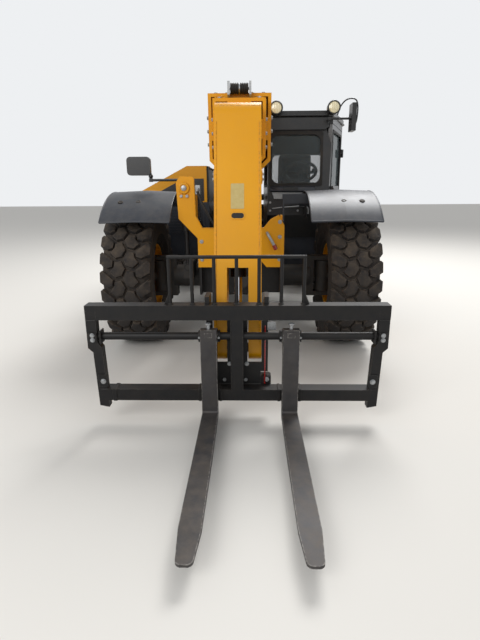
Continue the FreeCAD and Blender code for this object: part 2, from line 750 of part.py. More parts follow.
# The notch lets the tow pin be lifted out.
notch_half = sized(70)
pin_notch = box("pin_notch", (-notch_half, notch_half), (hitch_pin_y - notch_half, tail_y + 10),
                (s.chassis_low, s.chassis_deck + 300))
node("counterweight", cut("weight_cut", weight, *lamp_blocks["pocket"], pin_notch))
node("tail_lamps", group("tail_lamps_set", *lamp_blocks["lens"]))
jaws = []
for low in (0, 78):
    jaws.append(plate(
        f"tow_jaw{low}", "XY",
        [(-70, tail_y - 200), (70, tail_y - 200), (70, tail_y - 40), (35, tail_y - 5), (-35, tail_y - 5),
         (-70, tail_y - 40)],
        hitch_z - 104 + low, hitch_z - 78 + low, [(0.001, hitch_pin_y, sized(16.5))],
    ))
tow_back = box("tow_back", (-70, 70), (tail_y - 230, tail_y - 190), (hitch_z - 104, hitch_z))
node("tow_hitch", fuse("tow_whole", *jaws, tow_back))

# Mudguards: a curved skin over each wheel on an arm from the chassis.
FRONT_SWEEP = (-35, 81)
REAR_SWEEP = (-60, 104)
guards = []
for corner, side, axle_y in WHEELS:
    sweep = FRONT_SWEEP if axle_y is front_axle else REAR_SWEEP
    offset = -150 if axle_y is front_axle else 190
    crease_x = (s.guard_inner + s.guard_outer) / 2
    arc = turned(f"guard_arc_{corner}", [
        (s.guard_inner * side, s.guard_radius),
        (crease_x * side, s.guard_radius + s.guard_crease),
        (s.guard_outer * side, s.guard_radius),
        (s.guard_outer * side, s.guard_radius + s.guard_skin),
        (crease_x * side, s.guard_radius + s.guard_crease + s.guard_skin),
        (s.guard_inner * side, s.guard_radius + s.guard_skin),
    ], sweep[1])
    place(arc, 0, axle_y, axle_height, (1, 0, 0), sweep[0])
    top = axle_height + leg_of(s.guard_radius, abs(offset) + 30) + s.guard_skin / 2
    arm_outline = [
        (side_out * side, s.front_deck - 140),
        ((side_out + 16) * side, s.front_deck - 140),
        ((side_out + 16) * side, s.front_deck + 140),
        ((s.guard_inner + 45) * side, s.front_deck + 140),
        ((s.guard_inner + 45) * side, top),
        (side_out * side, top),
    ]
    arm_y = axle_y + offset
    arm = plate(f"guard_arm_{corner}", "XZ", arm_outline, arm_y - 30, arm_y + 30)
    guards.append(fuse(f"mudguard_{corner}_whole", arc, arm))
node("mudguards_front", group("mudguards_front_set", *guards[:2]))
node("mudguards_rear", group("mudguards_rear_set", *guards[2:]))

# Boom sections lie along local y with the pivot at the origin, then turn down to the slope.
rise = s.boom_rise


def section(name, width, height, grow, u1, u2, chamfer):
    """A solid length of boom profile, grown outwards all round."""
    half = width / 2 + grow
    low = rise - height / 2 - grow
    high = rise + height / 2 + grow
    outline = [
        (-half + chamfer, low), (half - chamfer, low), (half, low + chamfer), (half, high),
        (-half, high), (-half, low + chamfer),
    ]
    return plate(name, "XZ", outline, -sized(u2), -sized(u1))


def pads(name, width, height, gap, u1, u2):
    """Wear pads on a section's four outer faces, each as thick as the gap less its clearance."""
    thick = gap - s.pad_gap
    half = width / 2
    low = rise - height / 2
    high = rise + height / 2
    along_y = (-sized(u2), -sized(u1))
    return [
        box(name + "_top", (-110, 110), along_y, (high, high + thick)),
        box(name + "_bottom", (-80, 80), along_y, (low - thick, low)),
        box(name + "_left", (half, half + thick), along_y, (rise - 60, rise + 110)),
        box(name + "_right", (-half - thick, -half), along_y, (rise - 60, rise + 110)),
    ]


def boom_set(thing):
    """Puts a boom piece at the pivot, at the lowered slope."""
    return place(thing, 0, pivot_y, s.pivot_height, (1, 0, 0), s.boom_slope)


def along(u, w):
    """The (y, z) of a point u forward of the pivot and w square above, boom lowered."""
    lean, drop = cosine(s.boom_slope), sine(s.boom_slope)
    return (pivot_y - lean * u - drop * w, s.pivot_height - drop * u + lean * w)


outer_front = s.outer_length - s.outer_tail
outer_inner_w = s.outer_width - s.outer_wall * 2
outer_inner_h = s.outer_height - s.outer_wall * 2
mid_inner_w = mid_width - s.mid_wall * 2
mid_inner_h = mid_height - s.mid_wall * 2
gap_one = (outer_inner_w - mid_width) / 2
gap_two = (mid_inner_w - inner_width) / 2
chamfer = s.corner_cut
in_chamfer = chamfer - 7
mid_chamfer = chamfer - 20
mid_in_chamfer = chamfer - 27
inner_chamfer = chamfer - 40

ear_points = [
    (-s.lift_eye_forward - 290, rise - s.outer_height / 2 + 5),
    (-s.lift_eye_forward - 70, -s.lift_eye_drop - 45),
    (-s.lift_eye_forward + 60, -s.lift_eye_drop - 55),
    (-s.lift_eye_forward + 250, rise - s.outer_height / 2 + 5),
]
outer_whole = fuse(
    "outer_whole",
    section("outer_tube", s.outer_width, s.outer_height, 0, -s.outer_tail, outer_front, chamfer),
    section("outer_collar", s.outer_width, s.outer_height, s.collar_plate,
            outer_front - s.collar_length, outer_front, chamfer),
    section("outer_tail_collar", s.outer_width, s.outer_height, s.collar_plate,
            -s.outer_tail, 180 - s.outer_tail, chamfer),
    rod("pivot_boss", sized(92), (side_in - s.running_gap) * 2, -side_in + s.running_gap, 0, 0),
    plate("lift_ear_left", "YZ", ear_points, sized(56), sized(86)),
    plate("lift_ear_right", "YZ", ear_points, sized(-86), sized(-56)),
)
outer_hollow = section(
    "outer_hollow", outer_inner_w, outer_inner_h, 0, sized(130), outer_front + 5, in_chamfer,
)
pivot_bore = rod("pivot_bore", s.pivot_pin + 0.05, side_out * 2, -side_out, 0, 0)
outer_pads = []
thick_one = gap_one - s.pad_gap
pad_y = (-outer_front, -outer_front + s.pad_length)
floor_one = rise - outer_inner_h / 2
roof_one = rise + outer_inner_h / 2
outer_pads += [
    box("front_pad_top", (-120, 120), pad_y, (roof_one - thick_one, roof_one)),
    box("front_pad_bottom", (-90, 90), pad_y, (floor_one, floor_one + thick_one)),
    box("front_pad_left", (outer_inner_w / 2 - thick_one, outer_inner_w / 2), pad_y, (rise - 60, rise + 110)),
    box("front_pad_right", (-outer_inner_w / 2, -outer_inner_w / 2 + thick_one), pad_y,
        (rise - 60, rise + 110)),
]
outer_shell = cut("outer_shell", outer_whole, outer_hollow, pivot_bore)
node("boom_outer", boom_set(fuse("boom_outer_whole", outer_shell, *outer_pads)))

mid_whole = fuse(
    "mid_whole",
    section("mid_tube", mid_width, mid_height, 0, s.mid_rear, s.mid_front, mid_chamfer),
    section("mid_collar", mid_width, mid_height, s.collar_plate,
            s.mid_front - s.collar_length * 0.6, s.mid_front, mid_chamfer),
    *pads("mid_rear_pad", mid_width, mid_height, gap_one, s.mid_rear, s.mid_rear + s.pad_length),
)
mid_hollow = section(
    "mid_hollow", mid_inner_w, mid_inner_h, 0, s.mid_rear - 5, s.mid_front + 5, mid_in_chamfer,
)
thick_two = gap_two - s.pad_gap
pad_y = (-s.mid_front, -s.mid_front + s.pad_length)
floor_two = rise - mid_inner_h / 2
roof_two = rise + mid_inner_h / 2
mid_pads = [
    box("mid_pad_top", (-90, 90), pad_y, (rise + inner_height / 2 + s.pad_gap, roof_two)),
    box("mid_pad_bottom", (-70, 70), pad_y, (floor_two, rise - inner_height / 2 - s.pad_gap)),
    box("mid_pad_left", (mid_inner_w / 2 - thick_two, mid_inner_w / 2), pad_y, (rise - 50, rise + 90)),
    box("mid_pad_right", (-mid_inner_w / 2, -mid_inner_w / 2 + thick_two), pad_y, (rise - 50, rise + 90)),
]
mid_shell = cut("mid_shell", mid_whole, mid_hollow)
node("boom_middle", boom_set(fuse("boom_middle_whole", mid_shell, *mid_pads)))

# Inner section and the nose that bends down to the carriage pivot.
tube_front = s.mid_front + 60
inner_body = boom_set(cut(
    "inner_tube_cut",
    fuse(
        "inner_tube_whole",
        section("inner_tube", inner_width, inner_height, 0, s.inner_rear, tube_front, inner_chamfer),
        *pads("inner_rear_pad", inner_width, inner_height, gap_two - 2, s.inner_rear,
              s.inner_rear + s.pad_length),
    ),
    section("inner_hollow", inner_width - s.inner_wall * 2, inner_height - s.inner_wall * 2, 0,
            s.inner_rear - 5, tube_front + 5, inner_chamfer - 7),
))
end = s.nose_end_radius
half_inner = inner_height / 2


def nose_outline(shrink):
    """The nose seen from the side, drawn in by a plate thickness."""
    return [
        along(tube_front - 10, rise + half_inner - shrink),
        along(s.nose_top_reach - shrink, rise + half_inner - shrink),
        (hinge_y - end + shrink * 1.05, s.hinge_height - end - shrink),
        (hinge_y + end - shrink * 1.1, s.hinge_height - end - shrink),
        (hinge_y + 635 - shrink * 0.8, s.hinge_height + 1102),
        along(tube_front - 10, rise - half_inner + shrink),
    ]


nose_solid = plate(
    "nose_solid", "YZ", nose_outline(sized(0)), -inner_width / 2, inner_width / 2,
    corners={1: s.nose_round, 2: end * 0.8, 3: end * 0.8},
)
nose_hollow = plate(
    "nose_hollow", "YZ", nose_outline(s.inner_wall),
    -inner_width / 2 + s.inner_wall, inner_width / 2 - s.inner_wall,
)
solid_foot = box(
    "solid_foot", (-inner_width / 2, inner_width / 2), (hinge_y - 300, hinge_y + 300),
    (s.hinge_height - 200, s.hinge_height + 330),
)
hollow_up = cut("nose_hollow_up", nose_hollow, solid_foot)
slot_half = sized(70)
slot = box(
    "nose_slot", (-slot_half, slot_half), (hinge_y - 300, hinge_y + 300),
    (s.hinge_height - 200, s.hinge_height + 310),
)
rear_slot = box(
    "nose_rear_slot", (-slot_half, slot_half), (hinge_y + 20, hinge_y + 500),
    (s.hinge_height + 300, s.hinge_height + 520),
)
hinge_bore = rod("hinge_bore", s.hinge_radius + 0.05, inner_width + 20, -inner_width / 2 - 10,
                 hinge_y, s.hinge_height)
nose = cut("nose_cut", nose_solid, hollow_up, slot, rear_slot, hinge_bore)
tilt_base = (hinge_y + s.tilt_base_back, s.hinge_height + s.tilt_base_up)
tilt_eye = (hinge_y + s.tilt_eye_back, s.hinge_height + s.tilt_eye_up)
tilt_pin = rod("tilt_base_pin", sized(25), inner_width - 10, -inner_width / 2 + 5, *tilt_base)
node("boom_inner", fuse("boom_inner_whole", inner_body, nose, tilt_pin))

# Hose guide: two ears on the outer section's front end with three rollers between them.
guide_top = rise + s.outer_height / 2 + s.collar_plate
guide_low = rise + mid_height / 2 + s.collar_plate + 11
guide_u = outer_front + 44
guide_z = guide_top + 26
guide_parts = [rod("guide_pin", sized(10), sized(176), sized(-88), -guide_u, guide_z)]
for side in (1, -1):
    ear_x = (sized(74), sized(92)) if side > 0 else (sized(-92), sized(-74))
    guide_parts.append(plate(
        f"guide_ear{side + 1}", "YZ",
        [(-outer_front, guide_low), (-outer_front, guide_top), (-guide_u + 20, guide_top + 78),
         (-guide_u - 20, guide_top + 78), (-guide_u - 26, guide_low + 20), (-guide_u - 10, guide_low)],
        *ear_x,
    ))
for x in (-68, -21, 26):
    guide_parts.append(rod(f"guide_roller{x + 68}", sized(34), sized(42), sized(x), -guide_u, guide_z))
node("hose_guide", boom_set(fuse("guide_whole", *guide_parts)))


def cylinder_pair(name, base, eye, barrel, stem, pin, tube_end, bore_gap, half_boss, half_eye, eye_radius,
                  start):
    """A hydraulic cylinder from its base pin to its rod's eye: the barrel and the rod."""
    dy = base[0] - eye[0]
    dz = eye[1] - base[1]
    turn = angle_of(dy, dz)
    length = root_of_squares(dy, dz)
    end_z = length - tube_end
    body = fuse(
        f"{name}_barrel_whole",
        rod(f"{name}_tube", barrel, end_z - 20, 0, 0, sized(20), "z"),
        rod(f"{name}_gland", barrel + 8, sized(70), 0, 0, end_z - 70, "z"),
        rod(f"{name}_boss", barrel + 2, half_boss * 2, -half_boss, 0, 0),
    )
    hollow = rod(f"{name}_hollow", barrel - bore_gap, end_z - 24 - barrel, 0, 0, barrel, "z")
    mouth = rod(f"{name}_mouth", stem + 0.05, sized(60), 0, 0, end_z - 50, "z")
    base_bore = rod(f"{name}_base_bore", pin + 0.05, barrel * 2 + 30, -barrel - 15, 0, 0)
    shell = cut(f"{name}_barrel_cut", body, hollow, mouth, base_bore)
    node(f"{name}_cylinder_barrel", place(shell, 0, base[0], base[1], (1, 0, 0), turn))
    inner = fuse(
        f"{name}_rod_whole",
        rod(f"{name}_stem", stem, length - barrel - start - 4, 0, 0, barrel + start, "z"),
        rod(f"{name}_piston", barrel - bore_gap - 0.05, sized(24), 0, 0, barrel + start, "z"),
        rod(f"{name}_eye", eye_radius, half_eye * 2, -half_eye, 0, length),
        rod(f"{name}_eye_pin", pin, half_eye * 2 + 6, -half_eye - 3, 0, length),
    )
    node(f"{name}_cylinder_rod", place(inner, 0, base[0], base[1], (1, 0, 0), turn))


lift_eye = along(s.lift_eye_forward, -s.lift_eye_drop)
cylinder_pair(
    "lift", (lift_base_y, lift_base_z), lift_eye, s.lift_barrel, s.lift_rod, s.lift_pin,
    sized(170), sized(15), sized(60), sized(50), sized(58), sized(6),
)
cylinder_pair(
    "tilt", tilt_base, tilt_eye, s.tilt_barrel, s.tilt_rod, sized(25),
    sized(490), sized(9), sized(50), sized(34), sized(38), sized(180),
)

# Carriage: coupler, fork frame, load guard and two forks.
bars_front = shank_face + s.fork_thick + s.seat_gap
bars_rear = bars_front + s.bar_size
web_rear = bars_rear + 18
frame_half = s.frame_width / 2
low_bar_low = s.low_bar_height - 75
coupler_outline = [
    (web_rear - 4, s.hinge_height - 118),
    (hinge_y - 10, s.hinge_height - 84),
    (tilt_eye[0] - 10, tilt_eye[1] - 44),
    (tilt_eye[0] + 34, tilt_eye[1] - 34),
    (tilt_eye[0] + 44, tilt_eye[1] + 10),
    (tilt_eye[0] + 14, tilt_eye[1] + 42),
    (hinge_y + 40, s.hinge_height + 62),
    (hinge_y - 40, s.hinge_height + 70),
    (web_rear - 4, s.hinge_height + 190),
]
cheek_outline = [
    (bars_front + 30, s.top_bar_height),
    (bars_front + 30, s.top_bar_height + 48),
    (web_rear + 60, s.top_bar_height + 48),
    (web_rear + 60, s.hinge_height - 120),
    (bars_rear, s.hinge_height - 120),
    (bars_rear, s.top_bar_height),
]
cheek_in = inner_width / 2 + 11
cheek_out = cheek_in + 28
web_foot = s.hinge_height - 120
coupler_web = cut(
    "coupler_web",
    box("coupler_plate", (-cheek_out, cheek_out), (bars_rear, web_rear), (web_foot, s.hinge_height + 310)),
    box("coupler_window_left", (sized(64), cheek_in - 12), (bars_rear - 5, web_rear + 5),
        (web_foot + 60, s.hinge_height + 250)),
    box("coupler_window_right", (-cheek_in + 12, sized(-64)), (bars_rear - 5, web_rear + 5),
        (web_foot + 60, s.hinge_height + 250)),
)
pin_half = inner_width / 2 - 7
coupler_parts = [
    coupler_web,
    box("coupler_foot", (-150, 150), (bars_rear, web_rear + 40), (low_bar_low, web_foot + 20)),
    rod("coupler_tube", sized(58), sized(128), sized(-64), hinge_y, s.hinge_height),
    rod("hinge_pin", s.hinge_radius, pin_half * 2, -pin_half, hinge_y, s.hinge_height),
    plate("coupler_ear_left", "YZ", coupler_outline, sized(41), sized(64)),
    plate("coupler_ear_right", "YZ", coupler_outline, sized(-64), sized(-41)),
    plate("coupler_cheek_left", "YZ", cheek_outline, cheek_in, cheek_out),
    plate("coupler_cheek_right", "YZ", cheek_outline, -cheek_out, -cheek_in),
]
node("coupler", fuse("coupler_whole", *coupler_parts))

post_in = frame_half - s.post_width
frame_pieces = [
    box("top_bar", (-frame_half, frame_half), (bars_front, bars_rear),
        (s.top_bar_height - s.bar_size, s.top_bar_height)),
    box("low_bar", (-frame_half + 50, frame_half - 50), (bars_front, bars_rear),
        (low_bar_low, s.low_bar_height)),
    box("mid_post", (-35, 35), (bars_front, bars_rear), (low_bar_low, s.top_bar_height)),
]
tube_holes = [
    box("top_bar_hollow", (-frame_half - 5, frame_half + 5),
        (bars_front + s.bar_wall, bars_rear - s.bar_wall),
        (s.top_bar_height - s.bar_size + s.bar_wall, s.top_bar_height - s.bar_wall)),
    box("low_bar_hollow", (-frame_half, frame_half),
        (bars_front + s.bar_wall, bars_rear - s.bar_wall),
        (low_bar_low + s.bar_wall, s.low_bar_height - s.bar_wall)),
]
for side in (1, -1):
    post = [
        (post_in * side, s.top_bar_height - 30),
        (frame_half * side, s.top_bar_height - 30),
        (frame_half * side, s.top_bar_height - 272),
        ((frame_half - 30) * side, s.top_bar_height - 300),
        ((frame_half - 42) * side, low_bar_low - 36),
        ((frame_half - 102) * side, low_bar_low - 48),
        ((post_in - 24) * side, s.top_bar_height - 270),
        (post_in * side, s.top_bar_height - 240),
    ]
    frame_pieces.append(plate(f"side_post_{side + 1}", "XZ", post, bars_front, bars_front + 56))
shaft_y = shank_face + s.shaft_back
frame_tubes = cut("frame_tubes", fuse("frame_bars", *frame_pieces[:2]), *tube_holes)
shaft_height = s.top_bar_height - s.shaft_drop
shaft = rod("fork_shaft", s.shaft_radius, post_in * 2 + 20, -post_in - 10, shaft_y, shaft_height)
node("fork_frame", fuse("fork_frame_whole", frame_tubes, *frame_pieces[2:], shaft))

guard_half = s.guard_width / 2 - s.guard_bar
guard_y = bars_front + 40
rail_z = s.guard_height - s.guard_bar
guard_parts = [rod("guard_rail", s.guard_bar, s.guard_width, -s.guard_width / 2, guard_y, rail_z)]
for number in range(7):
    x = guard_half * ((number - 3) / 3.0)
    guard_parts.append(rod(f"guard_upright{number}", s.guard_bar, rail_z - s.top_bar_height, x, guard_y,
                           s.top_bar_height, "z"))
node("load_guard", fuse("guard_whole", *guard_parts))

blade_top = s.fork_low + s.fork_thick
tip = shank_face - s.fork_length
fork_outline = [
    (tip, blade_top - 14),
    (shank_face - 480, s.fork_low),
    (shank_face + s.fork_thick, s.fork_low),
    (shank_face + s.fork_thick, shaft_height + 62),
    (shank_face, shaft_height + 62),
    (shank_face, blade_top),
    (tip, blade_top),
]
for label, centre in (("right", -s.fork_right_side), ("left", s.fork_left_side)):
    low, high = centre - s.fork_width / 2, centre + s.fork_width / 2
    blade = plate(f"fork_blade_{label}", "YZ", fork_outline, low, high, corners={2: sized(42), 5: sized(14)})
    plan = plate(f"fork_plan_{label}", "XY", [
        (low + 16, tip), (high - 16, tip), (high, tip + 190), (high, shank_face + 60), (low, shank_face + 60),
        (low, tip + 190),
    ], sized(0), shaft_height + 80, corners={0: sized(26), 1: sized(26)})
    tapered = doc.addObject("Part::MultiCommon", f"fork_tapered_{label}")
    tapered.Shapes = [blade, plan]
    hook = rod(f"fork_hook_{label}", s.shaft_radius + 24, s.fork_width, low, shaft_y, shaft_height)
    eye = rod(f"fork_eye_{label}", s.shaft_radius + s.seat_gap, s.fork_width + 10, low - 5,
              shaft_y, shaft_height)
    node(f"fork_{label}", cut(f"fork_{label}_cut", fuse(f"fork_{label}_whole", tapered, hook), eye))

# Cab: a shell with a slanted door side, cut for the wheel arch, its windows and the door.
cab_front_y = front_axle + s.cab_front
door_rear_y = front_axle + s.door_rear
arch_radius = s.guard_radius + s.guard_crease + s.guard_skin + 14
cab_tall = s.cab_height - s.cab_floor
knee_z = s.cab_floor + cab_tall * 0.392
screen_back = sized(85)
screen_lean = screen_back / (s.cab_height - knee_z)
cab_side = [
    (cab_front_y, s.cab_floor),
    (cab_back_y - s.heel_run, s.cab_floor),
    (cab_back_y, s.cab_floor + s.heel_rise),
    (cab_back_y, s.cab_height - 260),
    (cab_back_y - 60, s.cab_height),
    (cab_front_y + screen_back, s.cab_height),
    (cab_front_y, knee_z),
]
cab_plan = [
    (s.cab_inner, cab_front_y - 20),
    (s.cab_front_outer, cab_front_y),
    (s.cab_outer, door_rear_y),
    (s.cab_outer, cab_back_y + 20),
    (s.cab_inner, cab_back_y + 20),
]
wall = s.cab_wall
cab_side_in = [
    (cab_front_y + wall, s.cab_floor + wall),
    (cab_back_y - s.heel_run - wall * 0.61, s.cab_floor + wall),
    (cab_back_y - wall, s.cab_floor + s.heel_rise + wall * 0.245),
    (cab_back_y - wall, s.cab_height - 265),
    (cab_back_y - 60 - wall * 0.8, s.cab_height - wall),
    (cab_front_y + screen_back + wall * 0.9, s.cab_height - wall),
    (cab_front_y + wall, knee_z),
]
cab_plan_in = [
    (s.cab_inner + wall, cab_front_y - 20),
    (s.cab_front_outer - wall * 1.05, cab_front_y),
    (s.cab_outer - wall, door_rear_y + 6),
    (s.cab_outer - wall, cab_back_y + 20),
    (s.cab_inner + wall, cab_back_y + 20),
]


def both(name, side_points, plan_points, low, high):
    """The volume shared by a side outline and a plan outline."""
    shared = doc.addObject("Part::MultiCommon", name)
    shared.Shapes = [
        plate(name + "_side", "YZ", side_points, s.cab_inner - 10, s.cab_outer + 10),
        plate(name + "_plan", "XY", plan_points, low, high),
    ]
    shared.Refine = True
    return shared


def wheel_round(name, axle_y, grow, reach):
    """A round about a wheel axis, out past a reach, that the pod and the cab keep out of."""
    half = reach + 100
    return rod(name, arch_radius + grow, half * 2, -half, axle_y, axle_height)


glass_low = s.cab_floor + cab_tall * 0.456
glass_high = s.cab_floor + cab_tall * 0.876
quarter_z = (glass_low - 60, glass_high - 90)
back_z = (s.cab_floor + cab_tall * 0.416, s.cab_floor + cab_tall * 0.776)
screen_x = (s.cab_inner + 32, s.cab_front_outer - 88)
rear_glass_x = (s.cab_inner + 110, s.cab_outer - 110)
boom_glass_y = (cab_front_y + 170, cab_back_y - 420)
quarter_y = (door_rear_y + 75, cab_back_y - 110)
door_turn = angle_of(s.cab_front_outer - s.cab_outer, s.door_rear - s.cab_front)
door_span = root_of_squares(s.cab_outer - s.cab_front_outer, s.door_rear - s.cab_front)
door_low = s.cab_floor + 75
door_high = s.cab_height - 70
leaf_front = -door_span + 62
leaf_rear = sized(-30)
leaf_glass_z = (door_low + cab_tall * 0.2, door_high - 60)


def door_set(thing):
    """Turns a piece drawn along the door's line into the slanted side."""
    turned_piece = group(thing.Name + "_turned", thing)
    return place(turned_piece, s.cab_outer, door_rear_y, 0, (0, 0, 1), door_turn)


gap = s.running_gap
door_hole = door_set(box(
    "door_hole", (-120, 120), (leaf_front - gap, leaf_rear + gap), (door_low - gap, door_high + gap),
))
cab_holes = [
    box("screen_hole", screen_x, (cab_front_y - 50, cab_front_y + 200), (glass_low, glass_high)),
    box("rear_hole", rear_glass_x, (cab_back_y - wall - 60, cab_back_y + 50), back_z),
    box("boom_hole", (s.cab_inner - 50, s.cab_inner + wall + 20), boom_glass_y, (glass_low, glass_high)),
    box("quarter_hole", (s.cab_outer - wall - 20, s.cab_outer + 50), quarter_y, quarter_z),
]
# Door hinges: name, height above the door's foot.
hinge_half = sized(45)
leaf_play = sized(0.3)
HINGES = [
    ("low", cab_tall * 0.16),
    ("high", cab_tall * 0.688),
]
post_hinge_y = leaf_rear - 6
hinge_x = sized(19)
post_hinges = []
for label, level in HINGES:
    high = door_low + level - leaf_play
    low = high - hinge_half
    post_hinges += [
        door_set(rod(f"post_hinge_{label}", sized(13), hinge_half, hinge_x, post_hinge_y, low, "z")),
        door_set(rod(f"post_hinge_pin_{label}", sized(5), sized(80), hinge_x, post_hinge_y, low, "z")),
        door_set(box(f"post_hinge_arm_{label}", (-2, 22), (leaf_rear + 8, leaf_rear + 26), (low, high))),
        door_set(box(f"post_hinge_leaf_{label}", (7, 22), (post_hinge_y, leaf_rear + 10), (low, high))),
    ]
cab_solid = both("cab_solid", cab_side, cab_plan, s.cab_floor - 10, s.cab_height + 10)
cab_room = both("cab_room", cab_side_in, cab_plan_in, s.cab_floor - 10, s.cab_height + 10)
room_cut = cut("cab_room_cut", cab_room, wheel_round("cab_room_round", front_axle, wall, s.cab_outer))
cab_walls = cut(
    "cab_walls", cab_solid, room_cut, wheel_round("cab_round", front_axle, 0, s.cab_outer), door_hole,
    *cab_holes,
)
node("cab_shell", fuse("cab_shell_whole", cab_walls, *post_hinges))

glass_inset = 16
pane_low_y = cab_front_y + glass_inset + (glass_low - knee_z) * screen_lean
pane_high_y = cab_front_y + glass_inset + (glass_high - knee_z) * screen_lean
lean = [
    (pane_low_y, glass_low),
    (pane_high_y, glass_high),
    (pane_high_y + s.glass_thick, glass_high),
    (pane_low_y + s.glass_thick, glass_low),
]
panes = [
    plate("screen_pane", "YZ", lean, *screen_x),
    box("rear_pane", rear_glass_x, (cab_back_y - 22, cab_back_y - 22 + s.glass_thick), back_z),
    box("boom_pane", (s.cab_inner + 12, s.cab_inner + 12 + s.glass_thick), boom_glass_y,
        (glass_low, glass_high)),
    box("quarter_pane", (s.cab_outer - 12 - s.glass_thick, s.cab_outer - 12), quarter_y, quarter_z),
]
node("cab_glass", group("cab_glass_set", *panes))

roof_plan = [
    (s.cab_inner, cab_front_y + 40),
    (s.cab_front_outer + 12, cab_front_y + 40),
    (s.cab_outer + 12, door_rear_y),
    (s.cab_outer + 12, cab_back_y - 50),
    (s.cab_inner, cab_back_y - 50),
]
roof_top = s.cab_height + s.roof_thick
node("cab_roof", plate("roof", "XY", roof_plan, s.cab_height, roof_top, corners={1: sized(60), 3: sized(60)}))

leaf_thick = wall - 5
leaf = box("leaf", (-leaf_thick, 0), (leaf_front, leaf_rear), (door_low, door_high))
leaf_glass_y = (leaf_front + 62, leaf_rear - 58)
leaf_hole = box("leaf_hole", (-leaf_thick - 10, 10), leaf_glass_y, leaf_glass_z)
door_hinges = []
door_bores = []
for label, level in HINGES:
    low = door_low + level
    high = low + hinge_half
    door_hinges += [
        rod(f"door_hinge_{label}", sized(13), hinge_half, hinge_x, post_hinge_y, low, "z"),
        box(f"door_hinge_arm_{label}", (0, hinge_x), (leaf_rear - 50, leaf_rear), (low, high)),
    ]
    door_bores.append(rod(f"door_bore_{label}", sized(5.05), hinge_half + 5, hinge_x, post_hinge_y,
                          low - 1, "z"))
handle_low = leaf_glass_z[0] + 80
handle = box("door_handle", (-2, 34), (leaf_front + 18, leaf_front + 44), (handle_low, handle_low + 150))
node("door_frame", door_set(cut("door_frame_cut", fuse(
    "door_frame_whole", cut("leaf_cut", leaf, leaf_hole), *door_hinges, handle,
), *door_bores)))
node("door_glass", door_set(box(
    "door_pane", (-22, sized(-22) + s.glass_thick), leaf_glass_y, leaf_glass_z,
)))

# Inside the cab: seat, dash with steering column and wheel.
seat_x = (s.cab_inner + s.cab_outer) / 2 - 70
seat_y = cab_back_y - 520
floor_z = s.cab_floor + wall
base_half = sized(130)
cushion_half = sized(240)
cushion_y = (seat_y - 260, seat_y + 210)
cushion_z = (floor_z + 300, floor_z + 420)
back_half = sized(220)
back_y = (seat_y + 150, cushion_y[1] + 50)
back_top = floor_z + 930
seat_parts = [
    box("seat_base", (seat_x - base_half, seat_x + base_half), (seat_y - base_half, seat_y + base_half),
        (floor_z, cushion_z[0])),
    box("seat_cushion", (seat_x - cushion_half, seat_x + cushion_half), cushion_y, cushion_z),
    box("seat_back", (seat_x - back_half, seat_x + back_half), back_y, (cushion_z[1] - 20, back_top)),
]
node("seat", fuse("seat_whole", *seat_parts))
dash_y = cab_front_y + wall
dash = fuse(
    "dash_whole",
    box("dash_top", (s.cab_inner + wall, s.cab_front_outer - wall - 20), (dash_y + 12, dash_y + 190),
        (glass_low - 160, glass_low - 25)),
    box("dash_post", (seat_x - 70, seat_x + 70), (dash_y + 140, dash_y + 235), (floor_z, glass_low - 60)),
)
column_long = sized(330)
column_lean = sized(35)
column_y = dash_y + 160
column_z = glass_low - 130
column = rod("column", sized(22), column_long, 0, 0, 0, "z")
place(column, seat_x, column_y, column_z, (1, 0, 0), -column_lean)
ring_radius = sized(175)
ring_half = sized(15)
ring_flat = ring_half - 7
ring_high = ring_half - 2
wheel_y = column_y + column_long * sine(column_lean)
wheel_z = column_z + column_long * cosine(column_lean)
wheel_ring = turned("wheel_ring", [
    (-ring_high, ring_radius - ring_flat), (-ring_high, ring_radius + ring_flat),
    (0, ring_radius + ring_half), (ring_high, ring_radius + ring_flat),
    (ring_high, ring_radius - ring_flat), (0, ring_radius - ring_half),
])
# The ring is turned about x, so a quarter turn about this axis lays x along the column.
place(wheel_ring, seat_x, wheel_y, wheel_z, (0, -cosine(column_lean).value, sine(column_lean).value), 90)
spoke = box("wheel_spoke", (-ring_radius, ring_radius), (-16, 16), (-8, 8))
spoke = place(group("wheel_spoke_set", spoke), seat_x, wheel_y, wheel_z, (1, 0, 0), -column_lean)
node("dash", fuse("dash_and_wheel", dash, column, wheel_ring, spoke))

# Step and tank under the door, and the grab rail by the windscreen foot.
step_y = (front_axle + arch_radius + 30, rear_axle - arch_radius - 110)
tank_out = sized(1120)
tank_low = s.chassis_low + 30
tank = plate("tank", "XZ", [
    (side_out, tank_low), (tank_out - 100, tank_low), (tank_out, tank_low + 90), (tank_out, s.cab_floor - 70),
    (tank_out - 60, s.cab_floor), (side_out, s.cab_floor),
], *step_y)
foothold = box("foothold", (tank_out - 160, tank_out + 80), (step_y[0] + 170, step_y[0] + 560),
               (tank_low + 100, tank_low + 300))
node("tank_step", cut("tank_cut", tank, foothold))
rail_x = sized(675)
rail_y = cab_front_y - 70
node("grab_rail", fuse(
    "grab_rail_whole",
    rod("grab_bar", sized(14), sized(190), rail_x, rail_y, sized(1175), "z"),
    rod("grab_top", sized(12), sized(70), rail_x, rail_y, sized(1345), "y"),
    rod("grab_low", sized(12), sized(70), rail_x, rail_y, sized(1195), "y"),
))

